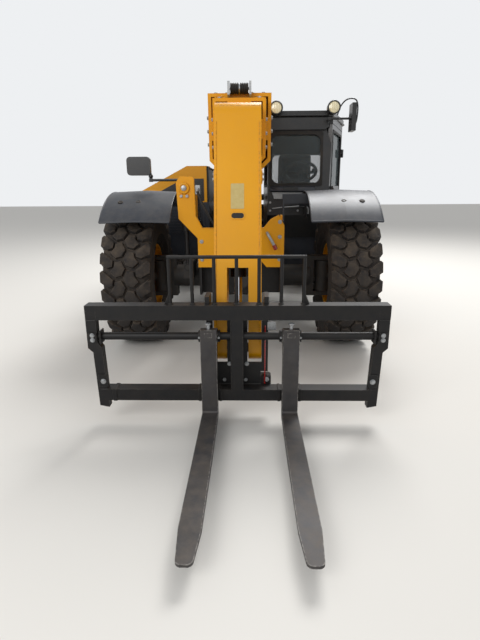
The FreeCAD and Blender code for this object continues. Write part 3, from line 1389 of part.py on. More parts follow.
# Lamps on the roof's front edge, and two mirrors on their arms.
lamp_y = cab_front_y + 20
lamp_z = roof_top + 17
LAMP_SIDES = (350, 935)
lamp_parts = []
for number, x in enumerate(LAMP_SIDES):
    lamp_parts.append(fuse(
        f"work_lamp{number}",
        rod(f"lamp_body{number}", sized(64), sized(78), sized(x), lamp_y - 65, lamp_z, "y"),
        box(f"lamp_foot{number}", (x - 14, x + 14), (lamp_y - 10, lamp_y + 60), (roof_top, lamp_z)),
    ))
node("work_lamps", group("work_lamps_set", *lamp_parts))
left_arm_x = s.cab_front_outer - 40
left_arm_y = cab_front_y - 80
left_arm_z = s.cab_height - 40
left_head_x = left_arm_x + 212
left_head = box("left_mirror_head", (left_head_x, left_head_x + 44), (left_arm_y - 80, left_arm_y + 80),
                (left_arm_z - 122, left_arm_z + 136))
left_arm = [
    rod("left_mirror_arm", sized(12), sized(230), left_arm_x, left_arm_y, left_arm_z, "x"),
    rod("left_mirror_post", sized(12), sized(210), left_arm_x, left_arm_y, left_arm_z, "y"),
    box("left_mirror_bend", (left_arm_x - 14, left_arm_x + 14), (left_arm_y - 14, left_arm_y + 14),
        (left_arm_z - 14, left_arm_z + 14)),
]
right_head_x = (sized(-1066), sized(-846))
right_head_z = (s.tower_height + 22, s.tower_height + 188)
right_head = plate("right_mirror_head", "XZ", [
    (right_head_x[0], right_head_z[0]), (right_head_x[1], right_head_z[0]),
    (right_head_x[1], right_head_z[1]), (right_head_x[0], right_head_z[1]),
], nose_y + 330, nose_y + 380, corners={0: sized(34), 1: sized(34), 2: sized(34), 3: sized(34)})
node("mirror_left", cut("mirror_left_cut", fuse("mirror_left_whole", left_head, *left_arm), cab_solid))
mirror_z = s.tower_height - 20
mirror_y = nose_y + 355
node("mirror_right", fuse(
    "mirror_right_whole",
    right_head,
    rod("right_mirror_a", sized(12), mirror_y - nose_y, sized(-500), nose_y, mirror_z, "y"),
    rod("right_mirror_b", sized(12), sized(350), sized(-850), mirror_y, mirror_z, "x"),
    rod("right_mirror_c", sized(12), sized(60), sized(-850), mirror_y, mirror_z, "z"),
    box("right_mirror_bend", (-516, -484), (mirror_y - 16, mirror_y + 16), (mirror_z - 16, mirror_z + 16)),
    box("right_mirror_turn", (-866, -834), (mirror_y - 16, mirror_y + 16), (mirror_z - 16, mirror_z + 16)),
))

# Engine pod on the right: an open box on the chassis with the engine in it, under a lid.
pod_x = (-s.hood_outer, -side_out)
pod_y = (front_axle + s.hood_front, front_axle + s.hood_rear)
pod_low = sized(700)
grille_low = sized(1010)
engine_x = (sized(-1020), sized(-470))
hood_ridge = sized(620)
pod = box("pod_solid", pod_x, pod_y, (pod_low, s.hood_base))
pod_room = cut(
    "pod_room",
    box("pod_inside", (-s.hood_outer + s.skin, -side_out - s.skin),
        (pod_y[0] + s.skin, pod_y[1] - s.skin), (pod_low + s.skin, s.hood_base + 10)),
    wheel_round("pod_room_round", rear_axle, s.skin, s.hood_outer),
)
grille_slots = [
    box(f"grille_slot{number}", (-s.hood_outer - 10, -s.hood_outer + 20),
        (pod_y[0] + 120, pod_y[0] + 700), (grille_low + number * 56, grille_low + number * 56 + 30))
    for number in range(5)
]
pod_round = wheel_round("pod_round", rear_axle, 0, s.hood_outer)
node("engine_pod", cut("pod_cut", pod, pod_room, pod_round, *grille_slots))
node("engine_block", box(
    "engine", engine_x, (pod_y[0] + 130, pod_y[0] + 960), (pod_low + s.skin, s.hood_base - 60),
))
hood_out = [
    (-s.hood_outer, s.hood_base),
    (-s.hood_outer, s.hood_low),
    (-hood_ridge, s.hood_high),
    (-s.hood_inner, s.hood_high),
    (-s.hood_inner, s.hood_base),
]
hood_in = [
    (-s.hood_outer + s.skin, s.hood_base - 10),
    (-s.hood_outer + s.skin, s.hood_low - 4),
    (-hood_ridge - 2, s.hood_high - s.skin),
    (-s.hood_inner + 10, s.hood_high - s.skin),
    (-s.hood_inner + 10, s.hood_base - 10),
]
hood_hinge_x = -s.hood_inner + 12
hood_hinge_z = s.hood_high - 8
rail_long = sized(1000)
EYES = (180, 860)
POSTS = (20, 240, 780, 920)
hood_eyes = [
    rod(f"hood_eye{at}", sized(12), sized(40), hood_hinge_x, pod_y[0] + at, hood_hinge_z, "y")
    for at in EYES
] + [
    box(f"hood_tongue{at}", (-s.hood_inner - 20, -s.hood_inner + 6), (pod_y[0] + at, pod_y[0] + at + 40),
        (s.hood_high - s.skin, s.hood_high))
    for at in EYES
]
hood_bore = rod("hood_bore", sized(7.05), pod_y[1] - pod_y[0], hood_hinge_x, pod_y[0], hood_hinge_z, "y")
node("hood", cut(
    "hood_cut",
    fuse("hood_whole", plate("hood_solid", "XZ", hood_out, pod_y[0], pod_y[1]), *hood_eyes),
    plate("hood_hollow", "XZ", hood_in, pod_y[0] + s.skin, pod_y[1] - s.skin),
    hood_bore,
))
node("hood_rail", fuse(
    "hood_rail_whole",
    box("hood_rail_wall", (-s.hood_inner + 4, -side_out), (pod_y[0], pod_y[0] + rail_long),
        (s.hood_base, s.hood_high - 28)),
    rod("hood_rail_pin", sized(7), rail_long - 60, hood_hinge_x, pod_y[0] + 20, hood_hinge_z, "y"),
    *[
        box(f"hood_post{at}", (hood_hinge_x - 6, hood_hinge_x + 8), (pod_y[0] + at, pod_y[0] + at + 40),
            (s.hood_high - 60, hood_hinge_z))
        for at in POSTS
    ],
))

# Writes each sub-part after checking that it came out sound.
doc.recompute()
os.makedirs("parts", exist_ok=True)
for thing in doc.Objects:
    bad = [word for word in thing.State if word in ("Invalid", "Error")]
    if bad:
        raise RuntimeError(f"{thing.Name}: {bad}")
for name, thing in nodes.items():
    shape = thing.Shape
    if shape.isNull() or not shape.isValid():
        raise RuntimeError(f"{name}: unsound shape")
    shape.exportStep(f"parts/{name}.step")
    bounds = shape.BoundBox
    print(f"{name:28s} {len(shape.Solids):2d} x {bounds.XMin:7.0f} {bounds.XMax:6.0f}"
          f" y {bounds.YMin:7.0f} {bounds.YMax:6.0f} z {bounds.ZMin:6.0f} {bounds.ZMax:6.0f}")
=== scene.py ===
import math

import bpy
from mathutils import Matrix, Vector, noise


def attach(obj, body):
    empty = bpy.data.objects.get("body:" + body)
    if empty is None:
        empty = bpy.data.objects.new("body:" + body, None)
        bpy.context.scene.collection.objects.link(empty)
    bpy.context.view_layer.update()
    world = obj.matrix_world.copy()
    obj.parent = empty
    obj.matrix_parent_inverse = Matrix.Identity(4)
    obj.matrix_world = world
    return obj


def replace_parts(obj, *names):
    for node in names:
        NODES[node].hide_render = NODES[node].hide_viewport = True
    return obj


# A telehandler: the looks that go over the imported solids. x to the machine's left,
# y to its rear, z up, in metres, with the ground at z = 0.

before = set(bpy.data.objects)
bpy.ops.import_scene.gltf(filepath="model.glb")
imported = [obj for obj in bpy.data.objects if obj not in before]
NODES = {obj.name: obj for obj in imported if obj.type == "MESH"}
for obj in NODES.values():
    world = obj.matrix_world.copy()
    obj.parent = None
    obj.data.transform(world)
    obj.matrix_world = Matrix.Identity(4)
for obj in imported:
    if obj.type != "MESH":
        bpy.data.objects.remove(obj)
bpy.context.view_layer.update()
CORNERS = ("front_left", "front_right", "rear_left", "rear_right")
AXLE_Y = {"front": -0.430, "rear": 2.320}
WHEEL_SIDE = {"left": 1, "right": -1}
WHEEL_OUT = 1.000
WHEEL_HEIGHT = 0.650
DUST_PATCH_MM = 90


# Materials


def per_metre(millimetres):
    """The scale of a pattern that repeats at a real size."""
    return 1000 / millimetres


def waves(millimetres):
    """The scale of a wave texture whose crests lie a real distance apart."""
    return per_metre(millimetres) / math.tau


def linear(code):
    """An sRGB hex value as the linear colour that a socket takes."""
    levels = [int(code[i:i + 2], 16) / 255 for i in (1, 3, 5)]
    return [v / 12.92 if v <= 0.04045 else ((v + 0.055) / 1.055) ** 2.4 for v in levels] + [1.0]


def add(tree, kind, settings, links=()):
    """Adds one node with its settings and the outputs that feed it."""
    made = tree.nodes.new(kind)
    for key, value in settings.items():
        if isinstance(key, int) or key in made.inputs:
            made.inputs[key].default_value = value
        else:
            setattr(made, key, value)
    for key, output in dict(links).items():
        tree.links.new(output, made.inputs[key])
    return made


def surface(name, settings):
    """A named finish: one Principled shader with its plain values on its own sockets."""
    material = bpy.data.materials.new(name)
    material.use_nodes = True
    shader = material.node_tree.nodes["Principled BSDF"]
    for socket, value in settings.items():
        shader.inputs[socket].default_value = value
    return material, material.node_tree, shader


def weather(tree, shader, shades, rough, dust, grain):
    """Colour that drifts between two shades, dust on what faces up, and the grain of the coat."""
    pale, deep, blotch_mm = shades
    dust_colour, dust_share = dust
    grain_mm, grain_high_mm = grain
    place = add(tree, "ShaderNodeTexCoord", {}).outputs["Object"]
    facing = add(tree, "ShaderNodeNewGeometry", {}).outputs["Normal"]
    drift = add(tree, "ShaderNodeTexNoise", {"Scale": per_metre(blotch_mm), "Detail": 5.0}, {"Vector": place})
    paint = add(tree, "ShaderNodeMix", {"data_type": "RGBA", 6: linear(deep), 7: linear(pale)},
                {0: drift.outputs[0]})
    upward = add(tree, "ShaderNodeSeparateXYZ", {}, {0: facing}).outputs["Z"]
    ledge = add(tree, "ShaderNodeMapRange", {"From Min": -0.3, "From Max": 1.0, "To Min": 0.15},
                {"Value": upward})
    patch = add(tree, "ShaderNodeTexNoise",
                {"Scale": per_metre(DUST_PATCH_MM), "Detail": 6.0, "Roughness": 0.7}, {"Vector": place})
    lying = add(tree, "ShaderNodeMapRange", {"From Min": 0.35, "From Max": 0.7, "To Max": dust_share},
                {"Value": patch.outputs[0]})
    share = add(tree, "ShaderNodeMath", {"operation": "MULTIPLY"},
                {0: ledge.outputs[0], 1: lying.outputs[0]})
    dusted = add(tree, "ShaderNodeMix", {"data_type": "RGBA", 7: linear(dust_colour)},
                 {0: share.outputs[0], 6: paint.outputs[2]})
    gloss = add(tree, "ShaderNodeMapRange", {"To Min": rough[0], "To Max": rough[1]},
                {"Value": patch.outputs[0]})
    grain = add(tree, "ShaderNodeTexNoise", {"Scale": per_metre(grain_mm), "Detail": 2.0}, {"Vector": place})
    bump = add(tree, "ShaderNodeBump", {"Strength": 0.6, "Distance": grain_high_mm / 1000},
               {"Height": grain.outputs[0]})
    tree.links.new(gloss.outputs[0], shader.inputs["Roughness"])
    tree.links.new(bump.outputs[0], shader.inputs["Normal"])
    return dusted.outputs[2], place, facing


def worn_edges(tree, colour, place, facing, metal, width_mm, chip_mm):
    """Paint rubbed through along the edges, in chips."""
    rounded = add(tree, "ShaderNodeBevel", {"samples": 4, "Radius": width_mm / 1000})
    bend = add(tree, "ShaderNodeVectorMath", {"operation": "DOT_PRODUCT"},
               {0: rounded.outputs[0], 1: facing})
    edge = add(tree, "ShaderNodeMapRange", {"From Min": 0.985, "From Max": 0.88},
               {"Value": bend.outputs["Value"]})
    chips = add(tree, "ShaderNodeTexNoise", {"Scale": per_metre(chip_mm), "Detail": 4.0}, {"Vector": place})
    kept = add(tree, "ShaderNodeMapRange", {"From Min": 0.42, "From Max": 0.58},
               {"Value": chips.outputs[0]})
    share = add(tree, "ShaderNodeMath", {"operation": "MULTIPLY"}, {0: edge.outputs[0], 1: kept.outputs[0]})
    return add(tree, "ShaderNodeMix", {"data_type": "RGBA", 7: linear(metal)},
               {0: share.outputs[0], 6: colour}).outputs[2]


def weathered(name, settings, shades, rough, dust, grain, worn=None):
    """A whole finish: shades (pale, deep, blotch in mm), roughness (least, most), dust (colour, share),
    grain (size, height in mm) and worn edges (bare colour, edge width and chip size in mm)."""
    material, tree, shader = surface(name, settings)
    colour, place, facing = weather(tree, shader, shades, rough, dust, grain)
    if worn:
        colour = worn_edges(tree, colour, place, facing, *worn)
    tree.links.new(colour, shader.inputs["Base Color"])
    return material


def yellow_enamel():
    # Two-pack enamel sprayed on steel plate: warm yellow, orange peel, dust on the ledges.
    return weathered("steel_sprayed_yellow_enamel",
                     {"IOR": 1.5, "Coat Weight": 0.1, "Coat Roughness": 0.12, "Specular IOR Level": 0.3},
                     shades=("#E9A405", "#DA9403", 420), rough=(0.32, 0.5), dust=("#B2904E", 0.12),
                     grain=(7, 0.12), worn=("#7A5A2C", 5, 14))


def black_enamel():
    # Satin black enamel on fabricated steel: fine dust and edges rubbed to grey.
    return weathered("steel_sprayed_black_enamel", {"IOR": 1.5, "Specular IOR Level": 0.3},
                     shades=("#141416", "#0A0A0C", 300), rough=(0.38, 0.6), dust=("#8C7C68", 0.08),
                     grain=(6, 0.12), worn=("#46433F", 5, 12))


def forged_fork_steel():
    # Forged fork steel with its black paint scuffed through to grey by loads.
    return weathered("fork_steel_forged_scuffed", {"IOR": 1.5, "Metallic": 0.25},
                     shades=("#403E3F", "#222123", 70), rough=(0.42, 0.68), dust=("#8F806D", 0.2),
                     grain=(5, 0.25), worn=("#8E8A84", 8, 18))


def tyre_rubber():
    # Vulcanised tread rubber, greyed by ground dust that lies in it.
    return weathered("rubber_vulcanised_dusty", {"IOR": 1.52, "Specular IOR Level": 0.3},
                     shades=("#2F2C2B", "#1D1B1C", 60), rough=(0.75, 0.95), dust=("#80715F", 0.5),
                     grain=(4, 0.5), worn=("#6C6055", 6, 25))


def moulded_polypropylene():
    # Moulded black polypropylene with a leather grain, drawn at 5 mm. Its bluish tint is a painted reflection
    # of a pale sky, laid into both shades of the base colour.
    return weathered("polypropylene_grained_painted_sky_sheen", {"IOR": 1.49},
                     shades=("#272D38", "#191D25", 160), rough=(0.34, 0.5), dust=("#9A9184", 0.12),
                     grain=(5, 0.2))


def cab_coating():
    # Black powder coat of the cab frame, smoother than the enamel of the attachments.
    return weathered("steel_powder_coated_black", {"IOR": 1.5, "Coat Weight": 0.2, "Coat Roughness": 0.2},
                     shades=("#131417", "#0B0C0E", 350), rough=(0.3, 0.45), dust=("#8C8070", 0.12),
                     grain=(6, 0.08))


def cast_iron():
    # Sand-cast axle housing under thin black paint: coarse skin, oily dust.
    return weathered("iron_sand_cast_painted", {"IOR": 1.5},
                     shades=("#1C1B1A", "#0E0D0D", 120), rough=(0.5, 0.8), dust=("#7E6D59", 0.25),
                     grain=(6, 0.6))


def hose_rubber():
    # Extruded hydraulic hose cover: matt black with a wrapped-cloth texture, drawn at 3 mm.
    return weathered("rubber_extruded_wrapped", {"IOR": 1.5, "Specular IOR Level": 0.35},
                     shades=("#1C1B1B", "#0F0F0F", 40), rough=(0.55, 0.75), dust=("#7C6E5D", 0.3),
                     grain=(3, 0.3))


def hard_chrome():
    # Ground and hard-chromed cylinder rod.
    material, tree, shader = surface("steel_hard_chromed", {"Metallic": 1.0, "Roughness": 0.12,
                                                            "Base Color": linear("#D6D8DB")})
    place = add(tree, "ShaderNodeTexCoord", {}).outputs["Object"]
    film = add(tree, "ShaderNodeTexNoise", {"Scale": per_metre(40), "Detail": 4.0}, {"Vector": place})
    gloss = add(tree, "ShaderNodeMapRange", {"To Min": 0.06, "To Max": 0.22}, {"Value": film.outputs[0]})
    tree.links.new(gloss.outputs[0], shader.inputs["Roughness"])
    return material


def hot_dip_zinc():
    # Hot-dip galvanised steel: dull spangle, drawn at 12 mm so that it shows.
    material, tree, shader = surface("steel_hot_dip_galvanised", {"Metallic": 0.85})
    place = add(tree, "ShaderNodeTexCoord", {}).outputs["Object"]
    spangle = add(tree, "ShaderNodeTexVoronoi", {"Scale": per_metre(12)}, {"Vector": place})
    tone = add(tree, "ShaderNodeMix", {"data_type": "RGBA", 6: linear("#8E9092"), 7: linear("#B4B6B7")},
               {0: spangle.outputs["Distance"]})
    gloss = add(tree, "ShaderNodeMapRange", {"To Min": 0.32, "To Max": 0.55},
                {"Value": spangle.outputs["Distance"]})
    tree.links.new(tone.outputs[2], shader.inputs["Base Color"])
    tree.links.new(gloss.outputs[0], shader.inputs["Roughness"])
    return material


def window_glass():
    # Toughened 6 mm glass under a grey film of dust, clear from the front and bright at a glancing angle.
    material, tree, shader = surface("glass_toughened_dusty", {"IOR": 1.45, "Roughness": 0.03,
                                                              "Base Color": linear("#6C7678")})
    place = add(tree, "ShaderNodeTexCoord", {}).outputs["Object"]
    film = add(tree, "ShaderNodeTexNoise", {"Scale": per_metre(180), "Detail": 4.0}, {"Vector": place})
    dust = add(tree, "ShaderNodeMapRange", {"To Min": 0.16, "To Max": 0.34}, {"Value": film.outputs[0]})
    glance = add(tree, "ShaderNodeFresnel", {"IOR": 1.45})
    solid = add(tree, "ShaderNodeMath", {"operation": "MAXIMUM"}, {0: dust.outputs[0], 1: glance.outputs[0]})
    tree.links.new(solid.outputs[0], shader.inputs["Alpha"])
    return material


def lamp_lens_plastic():
    # Clear moulded polycarbonate over a bright reflector: pale warm white.
    material, tree, shader = surface("polycarbonate_moulded_clear", {"IOR": 1.58, "Roughness": 0.12,
                                                                    "Coat Weight": 1.0,
                                                                    "Coat Roughness": 0.03})
    place = add(tree, "ShaderNodeTexCoord", {}).outputs["Object"]
    flute = add(tree, "ShaderNodeTexWave", {"Scale": waves(9), "bands_direction": "X"},
                {"Vector": place})
    tone = add(tree, "ShaderNodeMix", {"data_type": "RGBA", 6: linear("#FFF6D2"), 7: linear("#E2D6A8")},
               {0: flute.outputs["Fac"]})
    bump = add(tree, "ShaderNodeBump", {"Strength": 0.5, "Distance": 0.002}, {"Height": flute.outputs["Fac"]})
    tree.links.new(tone.outputs[2], shader.inputs["Base Color"])
    tree.links.new(bump.outputs[0], shader.inputs["Normal"])
    return material


def red_lens_plastic():
    # Red moulded acrylic with fluted optics.
    material, tree, shader = surface("acrylic_moulded_red", {"IOR": 1.49, "Roughness": 0.15,
                                                            "Coat Weight": 0.8})
    place = add(tree, "ShaderNodeTexCoord", {}).outputs["Object"]
    flute = add(tree, "ShaderNodeTexWave", {"Scale": waves(8), "bands_direction": "Z"},
                {"Vector": place})
    tone = add(tree, "ShaderNodeMix", {"data_type": "RGBA", 6: linear("#A01812"), 7: linear("#6E0D0A")},
               {0: flute.outputs["Fac"]})
    tree.links.new(tone.outputs[2], shader.inputs["Base Color"])
    return material


def seat_cloth():
    # Woven polyester seat cover, thread spacing 2 mm drawn at 4 mm so that it shows.
    material, tree, shader = surface("polyester_woven", {"IOR": 1.5, "Roughness": 0.9, "Sheen Weight": 0.25,
                                                        "Sheen Roughness": 0.5})
    place = add(tree, "ShaderNodeTexCoord", {}).outputs["Object"]
    across = add(tree, "ShaderNodeTexWave", {"Scale": waves(4), "bands_direction": "X"},
                 {"Vector": place})
    along = add(tree, "ShaderNodeTexWave", {"Scale": waves(4), "bands_direction": "Z"},
                {"Vector": place})
    weave = add(tree, "ShaderNodeMath", {"operation": "MAXIMUM"},
                {0: across.outputs["Fac"], 1: along.outputs["Fac"]})
    tone = add(tree, "ShaderNodeMix", {"data_type": "RGBA", 6: linear("#17181B"), 7: linear("#34363B")},
               {0: weave.outputs[0]})
    bump = add(tree, "ShaderNodeBump", {"Strength": 0.5, "Distance": 0.001}, {"Height": weave.outputs[0]})
    tree.links.new(tone.outputs[2], shader.inputs["Base Color"])
    tree.links.new(bump.outputs[0], shader.inputs["Normal"])
    return material


def blank_vinyl():
    # Unprinted pale vinyl plate, sun-bleached in patches.
    material, tree, shader = surface("vinyl_calendered_blank", {"IOR": 1.5, "Roughness": 0.5})
    place = add(tree, "ShaderNodeTexCoord", {}).outputs["Object"]
    patch = add(tree, "ShaderNodeTexNoise", {"Scale": per_metre(25), "Detail": 4.0}, {"Vector": place})
    tone = add(tree, "ShaderNodeMix", {"data_type": "RGBA", 6: linear("#B59A52"), 7: linear("#C9B77C")},
               {0: patch.outputs[0]})
    tree.links.new(tone.outputs[2], shader.inputs["Base Color"])
    return material


FINISHES = {
    "yellow_paint": yellow_enamel(),
    "black_paint": black_enamel(),
    "fork_steel": forged_fork_steel(),
    "chrome": hard_chrome(),
    "galvanised": hot_dip_zinc(),
    "tyre": tyre_rubber(),
    "black_plastic": moulded_polypropylene(),
    "cab_black": cab_coating(),
    "cast": cast_iron(),
    "glass": window_glass(),
    "lamp_lens": lamp_lens_plastic(),
    "red_lens": red_lens_plastic(),
    "hose": hose_rubber(),
    "seat_cloth": seat_cloth(),
    "blank_plate": blank_vinyl(),
}


# Mesh building


def facing_turn(axis):
    """The turn that carries z onto an axis."""
    return Vector(axis).to_track_quat("Z", "Y").to_matrix().to_4x4()


def smooth_route(points, steps=6):
    """A flowing route through the points, for a hose that clips and fittings hold."""
    points = [Vector(p) for p in points]
    ends = [2 * points[0] - points[1]] + points + [2 * points[-1] - points[-2]]
    route = []
    for a, b, c, d in zip(ends, ends[1:], ends[2:], ends[3:]):
        for step in range(steps):
            t = step / steps
            route.append(0.5 * ((2 * b) + (c - a) * t + (2 * a - 5 * b + 4 * c - d) * t * t
                                + (3 * b - a - 3 * c + d) * t ** 3))
    return route + [points[-1]]


class Shape:
    """Collects rings of points into one mesh, each ring joined to the next."""

    def __init__(self):
        self.points = []
        self.faces = []
        self.finishes = []

    def loft(self, rings, finish=0, closed=False):
        """Joins the rings in turn, with a cap at each end or, where closed, the last to the first."""
        start = len(self.points)
        count = len(rings[0])
        for ring in rings:
            self.points.extend(ring)
        pairs = [(i, i + 1) for i in range(len(rings) - 1)]
        if closed:
            pairs.append((len(rings) - 1, 0))
        for low, high in pairs:
            for i in range(count):
                j = (i + 1) % count
                self.faces.append((start + low * count + i, start + low * count + j,
                                   start + high * count + j, start + high * count + i))
        if not closed:
            last = start + (len(rings) - 1) * count
            self.faces.append(tuple(range(start + count - 1, start - 1, -1)))
            self.faces.append(tuple(range(last, last + count)))
        self.finishes.extend([finish] * (len(self.faces) - len(self.finishes)))

    def prism(self, outline, low, high, axis="z", edge=0.003, finish=0):
        """An outline pulled along an axis, its two rims chamfered."""
        place = {"x": lambda u, v, w: Vector((w, u, v)), "y": lambda u, v, w: Vector((u, w, v)),
                 "z": lambda u, v, w: Vector((u, v, w))}[axis]
        centre = [sum(p[i] for p in outline) / len(outline) for i in (0, 1)]

        def ring(inset, level):
            """The outline at a level, pulled in a little."""
            made = []
            for u, v in outline:
                away = math.hypot(u - centre[0], v - centre[1])
                pull = 1 - inset / max(away, inset * 2)
                made.append(place(centre[0] + (u - centre[0]) * pull, centre[1] + (v - centre[1]) * pull,
                                  level))
            return made

        self.loft([ring(edge, low), ring(0, low + edge), ring(0, high - edge), ring(edge, high)], finish)

    def slab(self, low, high, edge=0.003, finish=0, turn=None):
        """A box between two corners with chamfered edges."""
        middle = (Vector(low) + Vector(high)) / 2
        half = (Vector(high) - Vector(low)) / 2
        edge = min(edge, *[h * 0.45 for h in half])
        rings = []
        for inset, level in ((edge, -half.z), (0, -half.z + edge), (0, half.z - edge), (edge, half.z)):
            a, b = half.x - inset, half.y - inset
            corner = edge - inset * 0.5
            rings.append([Vector((sx * (a - (corner if first else 0)), sy * (b - (0 if first else corner)),
                                  level))
                          for sx, sy, first in ((1, -1, 0), (1, 1, 0), (1, 1, 1), (-1, 1, 1),
                                                (-1, 1, 0), (-1, -1, 0), (-1, -1, 1), (1, -1, 1))])
        turn = turn or Matrix.Identity(4)
        self.loft([[middle + turn @ p for p in ring] for ring in rings], finish)

    def lathe(self, place, axis, profile, finish=0, sides=40, closed=False):
        """A profile of (radius, distance along the axis) turned round the axis."""
        turn = Matrix.Translation(place) @ facing_turn(axis)
        rings = []
        for radius, along in profile:
            rings.append([turn @ Vector((radius * math.cos(a), radius * math.sin(a), along))
                          for a in [math.tau * i / sides for i in range(sides)]])
        self.loft(rings, finish, closed=closed)

    def drum(self, start, end, radius, edge=0.002, finish=0, sides=24):
        """A round bar from one point to another with chamfered ends."""
        run = Vector(end) - Vector(start)
        length = run.length
        edge = min(edge, radius * 0.4, length * 0.4)
        self.lathe(start, run, [(radius - edge, 0), (radius, edge), (radius, length - edge),
                                (radius - edge, length)], finish, sides)

    def tube(self, route, radius, finish=0, sides=10):
        """A round tube along a route."""
        route = [Vector(p) for p in route]
        heading = (route[1] - route[0]).normalized()
        side = heading.orthogonal().normalized()
        rings = []
        for i, point in enumerate(route):
            ahead = route[min(i + 1, len(route) - 1)] - route[max(i - 1, 0)]
            ahead.normalize()
            side = (side - ahead * side.dot(ahead)).normalized()
            up = ahead.cross(side)
            rings.append([point + (side * math.cos(a) + up * math.sin(a)) * radius
                          for a in [math.tau * k / sides for k in range(sides)]])
        self.loft(rings, finish)

    def bolt(self, place, axis, across=0.024, high=0.014, finish=0):
        """A hexagon head on its washer."""
        self.lathe(place, axis, [(across * 0.72, 0), (across * 0.72, high * 0.2)], finish, 18)
        self.lathe(place, axis, [(across * 0.56, high * 0.2), (across * 0.57, high * 0.85),
                                 (across * 0.5, high)], finish, 6)

    def bead(self, start, end, radius=0.005, finish=0):
        """A weld bead with its ripples."""
        start, end = Vector(start), Vector(end)
        count = max(3, int((end - start).length / 0.012))
        run = end - start
        side = run.normalized().orthogonal().normalized()
        up = run.normalized().cross(side)
        rings = []
        for i in range(count + 1):
            swell = radius * (1 + 0.14 * (i % 2) + 0.1 * noise.noise(start * 9 + Vector((i, 0, 0))))
            rings.append([start + run * (i / count) + (side * math.cos(a) + up * math.sin(a)) * swell
                          for a in [math.tau * k / 8 for k in range(8)]])
        self.loft(rings, finish)

    def frame(self, outer, inner, low, high, finish=0):
        """A flat ring between two outlines of as many points."""
        self.loft([[Vector((u, v, level)) for u, v in line]
                   for line, level in ((outer, low), (outer, high), (inner, high), (inner, low))],
                  finish, closed=True)

    def lay(self, since, turn, spot):
        """Turns the points made since a count and moves them to a spot."""
        self.points[since:] = [Vector(spot) + turn @ p for p in self.points[since:]]

    def mesh(self, name, finishes, sharp=35):
        """The finished mesh, smooth but for edges sharper than an angle."""
        made = bpy.data.meshes.new(name)
        made.from_pydata([tuple(p) for p in self.points], [], self.faces)
        for finish in finishes:
            made.materials.append(FINISHES[finish])
        made.polygons.foreach_set("material_index", self.finishes)
        made.validate()
        made.shade_smooth()
        made.set_sharp_from_angle(angle=math.radians(sharp))
        return made


def piece(name, mesh, body, place=(0, 0, 0)):
    """A piece of the look, riding on its body."""
    thing = bpy.data.objects.new(name, mesh)
    bpy.context.scene.collection.objects.link(thing)
    thing.location = place
    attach(thing, body)
    return thing


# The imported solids


def soften(node, width):
    """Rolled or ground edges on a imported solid."""
    bevel = node.modifiers.new("soft_edges", "BEVEL")
    bevel.width = width
    bevel.segments = 2
    bevel.limit_method = "ANGLE"
    bevel.angle_limit = math.radians(38)
    bevel.use_clamp_overlap = True


# node, finish, edge radius in metres
DRESS = {
    "chassis_frame": ("black_paint", 0.003),
    "chassis_decks": ("black_paint", 0.002),
    "chassis_pins": ("black_paint", 0.003),
    "chassis_webs": ("black_paint", 0.002),
    "front_bulkhead": ("yellow_paint", 0.004),
    "counterweight": ("yellow_paint", 0.012),
    "boom_outer": ("yellow_paint", 0.004),
    "boom_middle": ("yellow_paint", 0.004),
    "boom_inner": ("yellow_paint", 0.005),
    "hood": ("yellow_paint", 0.006),
    "engine_pod": ("black_plastic", 0.004),
    "hood_rail": ("black_paint", 0.002),
    "hose_guide": ("galvanised", 0.002),
    "lift_cylinder_barrel": ("yellow_paint", 0.002),
    "lift_cylinder_rod": ("chrome", 0.001),
    "tilt_cylinder_barrel": ("black_paint", 0.002),
    "tilt_cylinder_rod": ("chrome", 0.001),
    "sway_cylinder": ("black_paint", 0.002),
    "coupler": ("black_paint", 0.004),
    "fork_frame": ("black_paint", 0.006),
    "load_guard": ("black_paint", 0.001),
    "fork_right": ("fork_steel", 0.006),
    "fork_left": ("fork_steel", 0.006),
    "cab_shell": ("cab_black", 0.006),
    "cab_roof": ("cab_black", 0.014),
    "cab_glass": ("glass", 0),
    "door_frame": ("cab_black", 0.004),
    "door_glass": ("glass", 0),
    "seat": ("seat_cloth", 0.01),
    "dash": ("black_plastic", 0.004),
    "tank_step": ("black_plastic", 0.01),
    "grab_rail": ("black_paint", 0),
    "work_lamps": ("cab_black", 0.003),
    "mirror_left": ("cab_black", 0.004),
    "mirror_right": ("cab_black", 0.004),
    "engine_block": ("cast", 0.01),
    "mudguards_front": ("black_plastic", 0.003),
    "mudguards_rear": ("black_plastic", 0.003),
    "tail_lamps": ("red_lens", 0.004),
    "tow_hitch": ("cast", 0.004),
    "front_axle": ("cast", 0.004),
    "rear_axle": ("cast", 0.004),
    "front_steering_rod": ("chrome", 0.001),
    "rear_steering_rod": ("chrome", 0.001),
}
for corner in CORNERS:
    DRESS[f"knuckle_{corner}"] = ("cast", 0.004)
    DRESS[f"rim_{corner}"] = ("yellow_paint", 0.002)
    DRESS[f"tyre_{corner}"] = ("tyre", 0)

for name, (finish, edge) in DRESS.items():
    solid = NODES[name]
    solid.data.materials.clear()
    solid.data.materials.append(FINISHES[finish])
    if edge:
        soften(solid, edge)


# Tyres

PITCHES = 24
TREAD_RADIUS = 0.650
TREAD_DEPTH = 0.032
TREAD_HALF = 0.2195
# The crown's width from the middle, where its shoulder starts and how wide that is.
CROWN_HALF, CROWN_SHOULDER, SHOULDER_WIDE = 0.22, 0.165, 0.055
# Where a block that reaches this far out runs down the sidewall: across and radius of its foot.
BLOCK_REACH, BLOCK_FOOT = 0.2, (0.212, 0.556)
# Outlines on the right half of the tread: across in metres, and along in pitches, up the front.
SHOULDER = [(0.104, -0.38), (0.146, -0.46), (0.2185, -0.20), (0.2185, 0.33), (0.196, 0.41), (0.098, -0.06)]
CENTRE = [(-0.008, 0.02), (0.02, -0.34), (0.076, -0.44), (0.122, -0.17), (0.088, 0.1), (0.082, 0.34),
          (0.026, 0.4)]
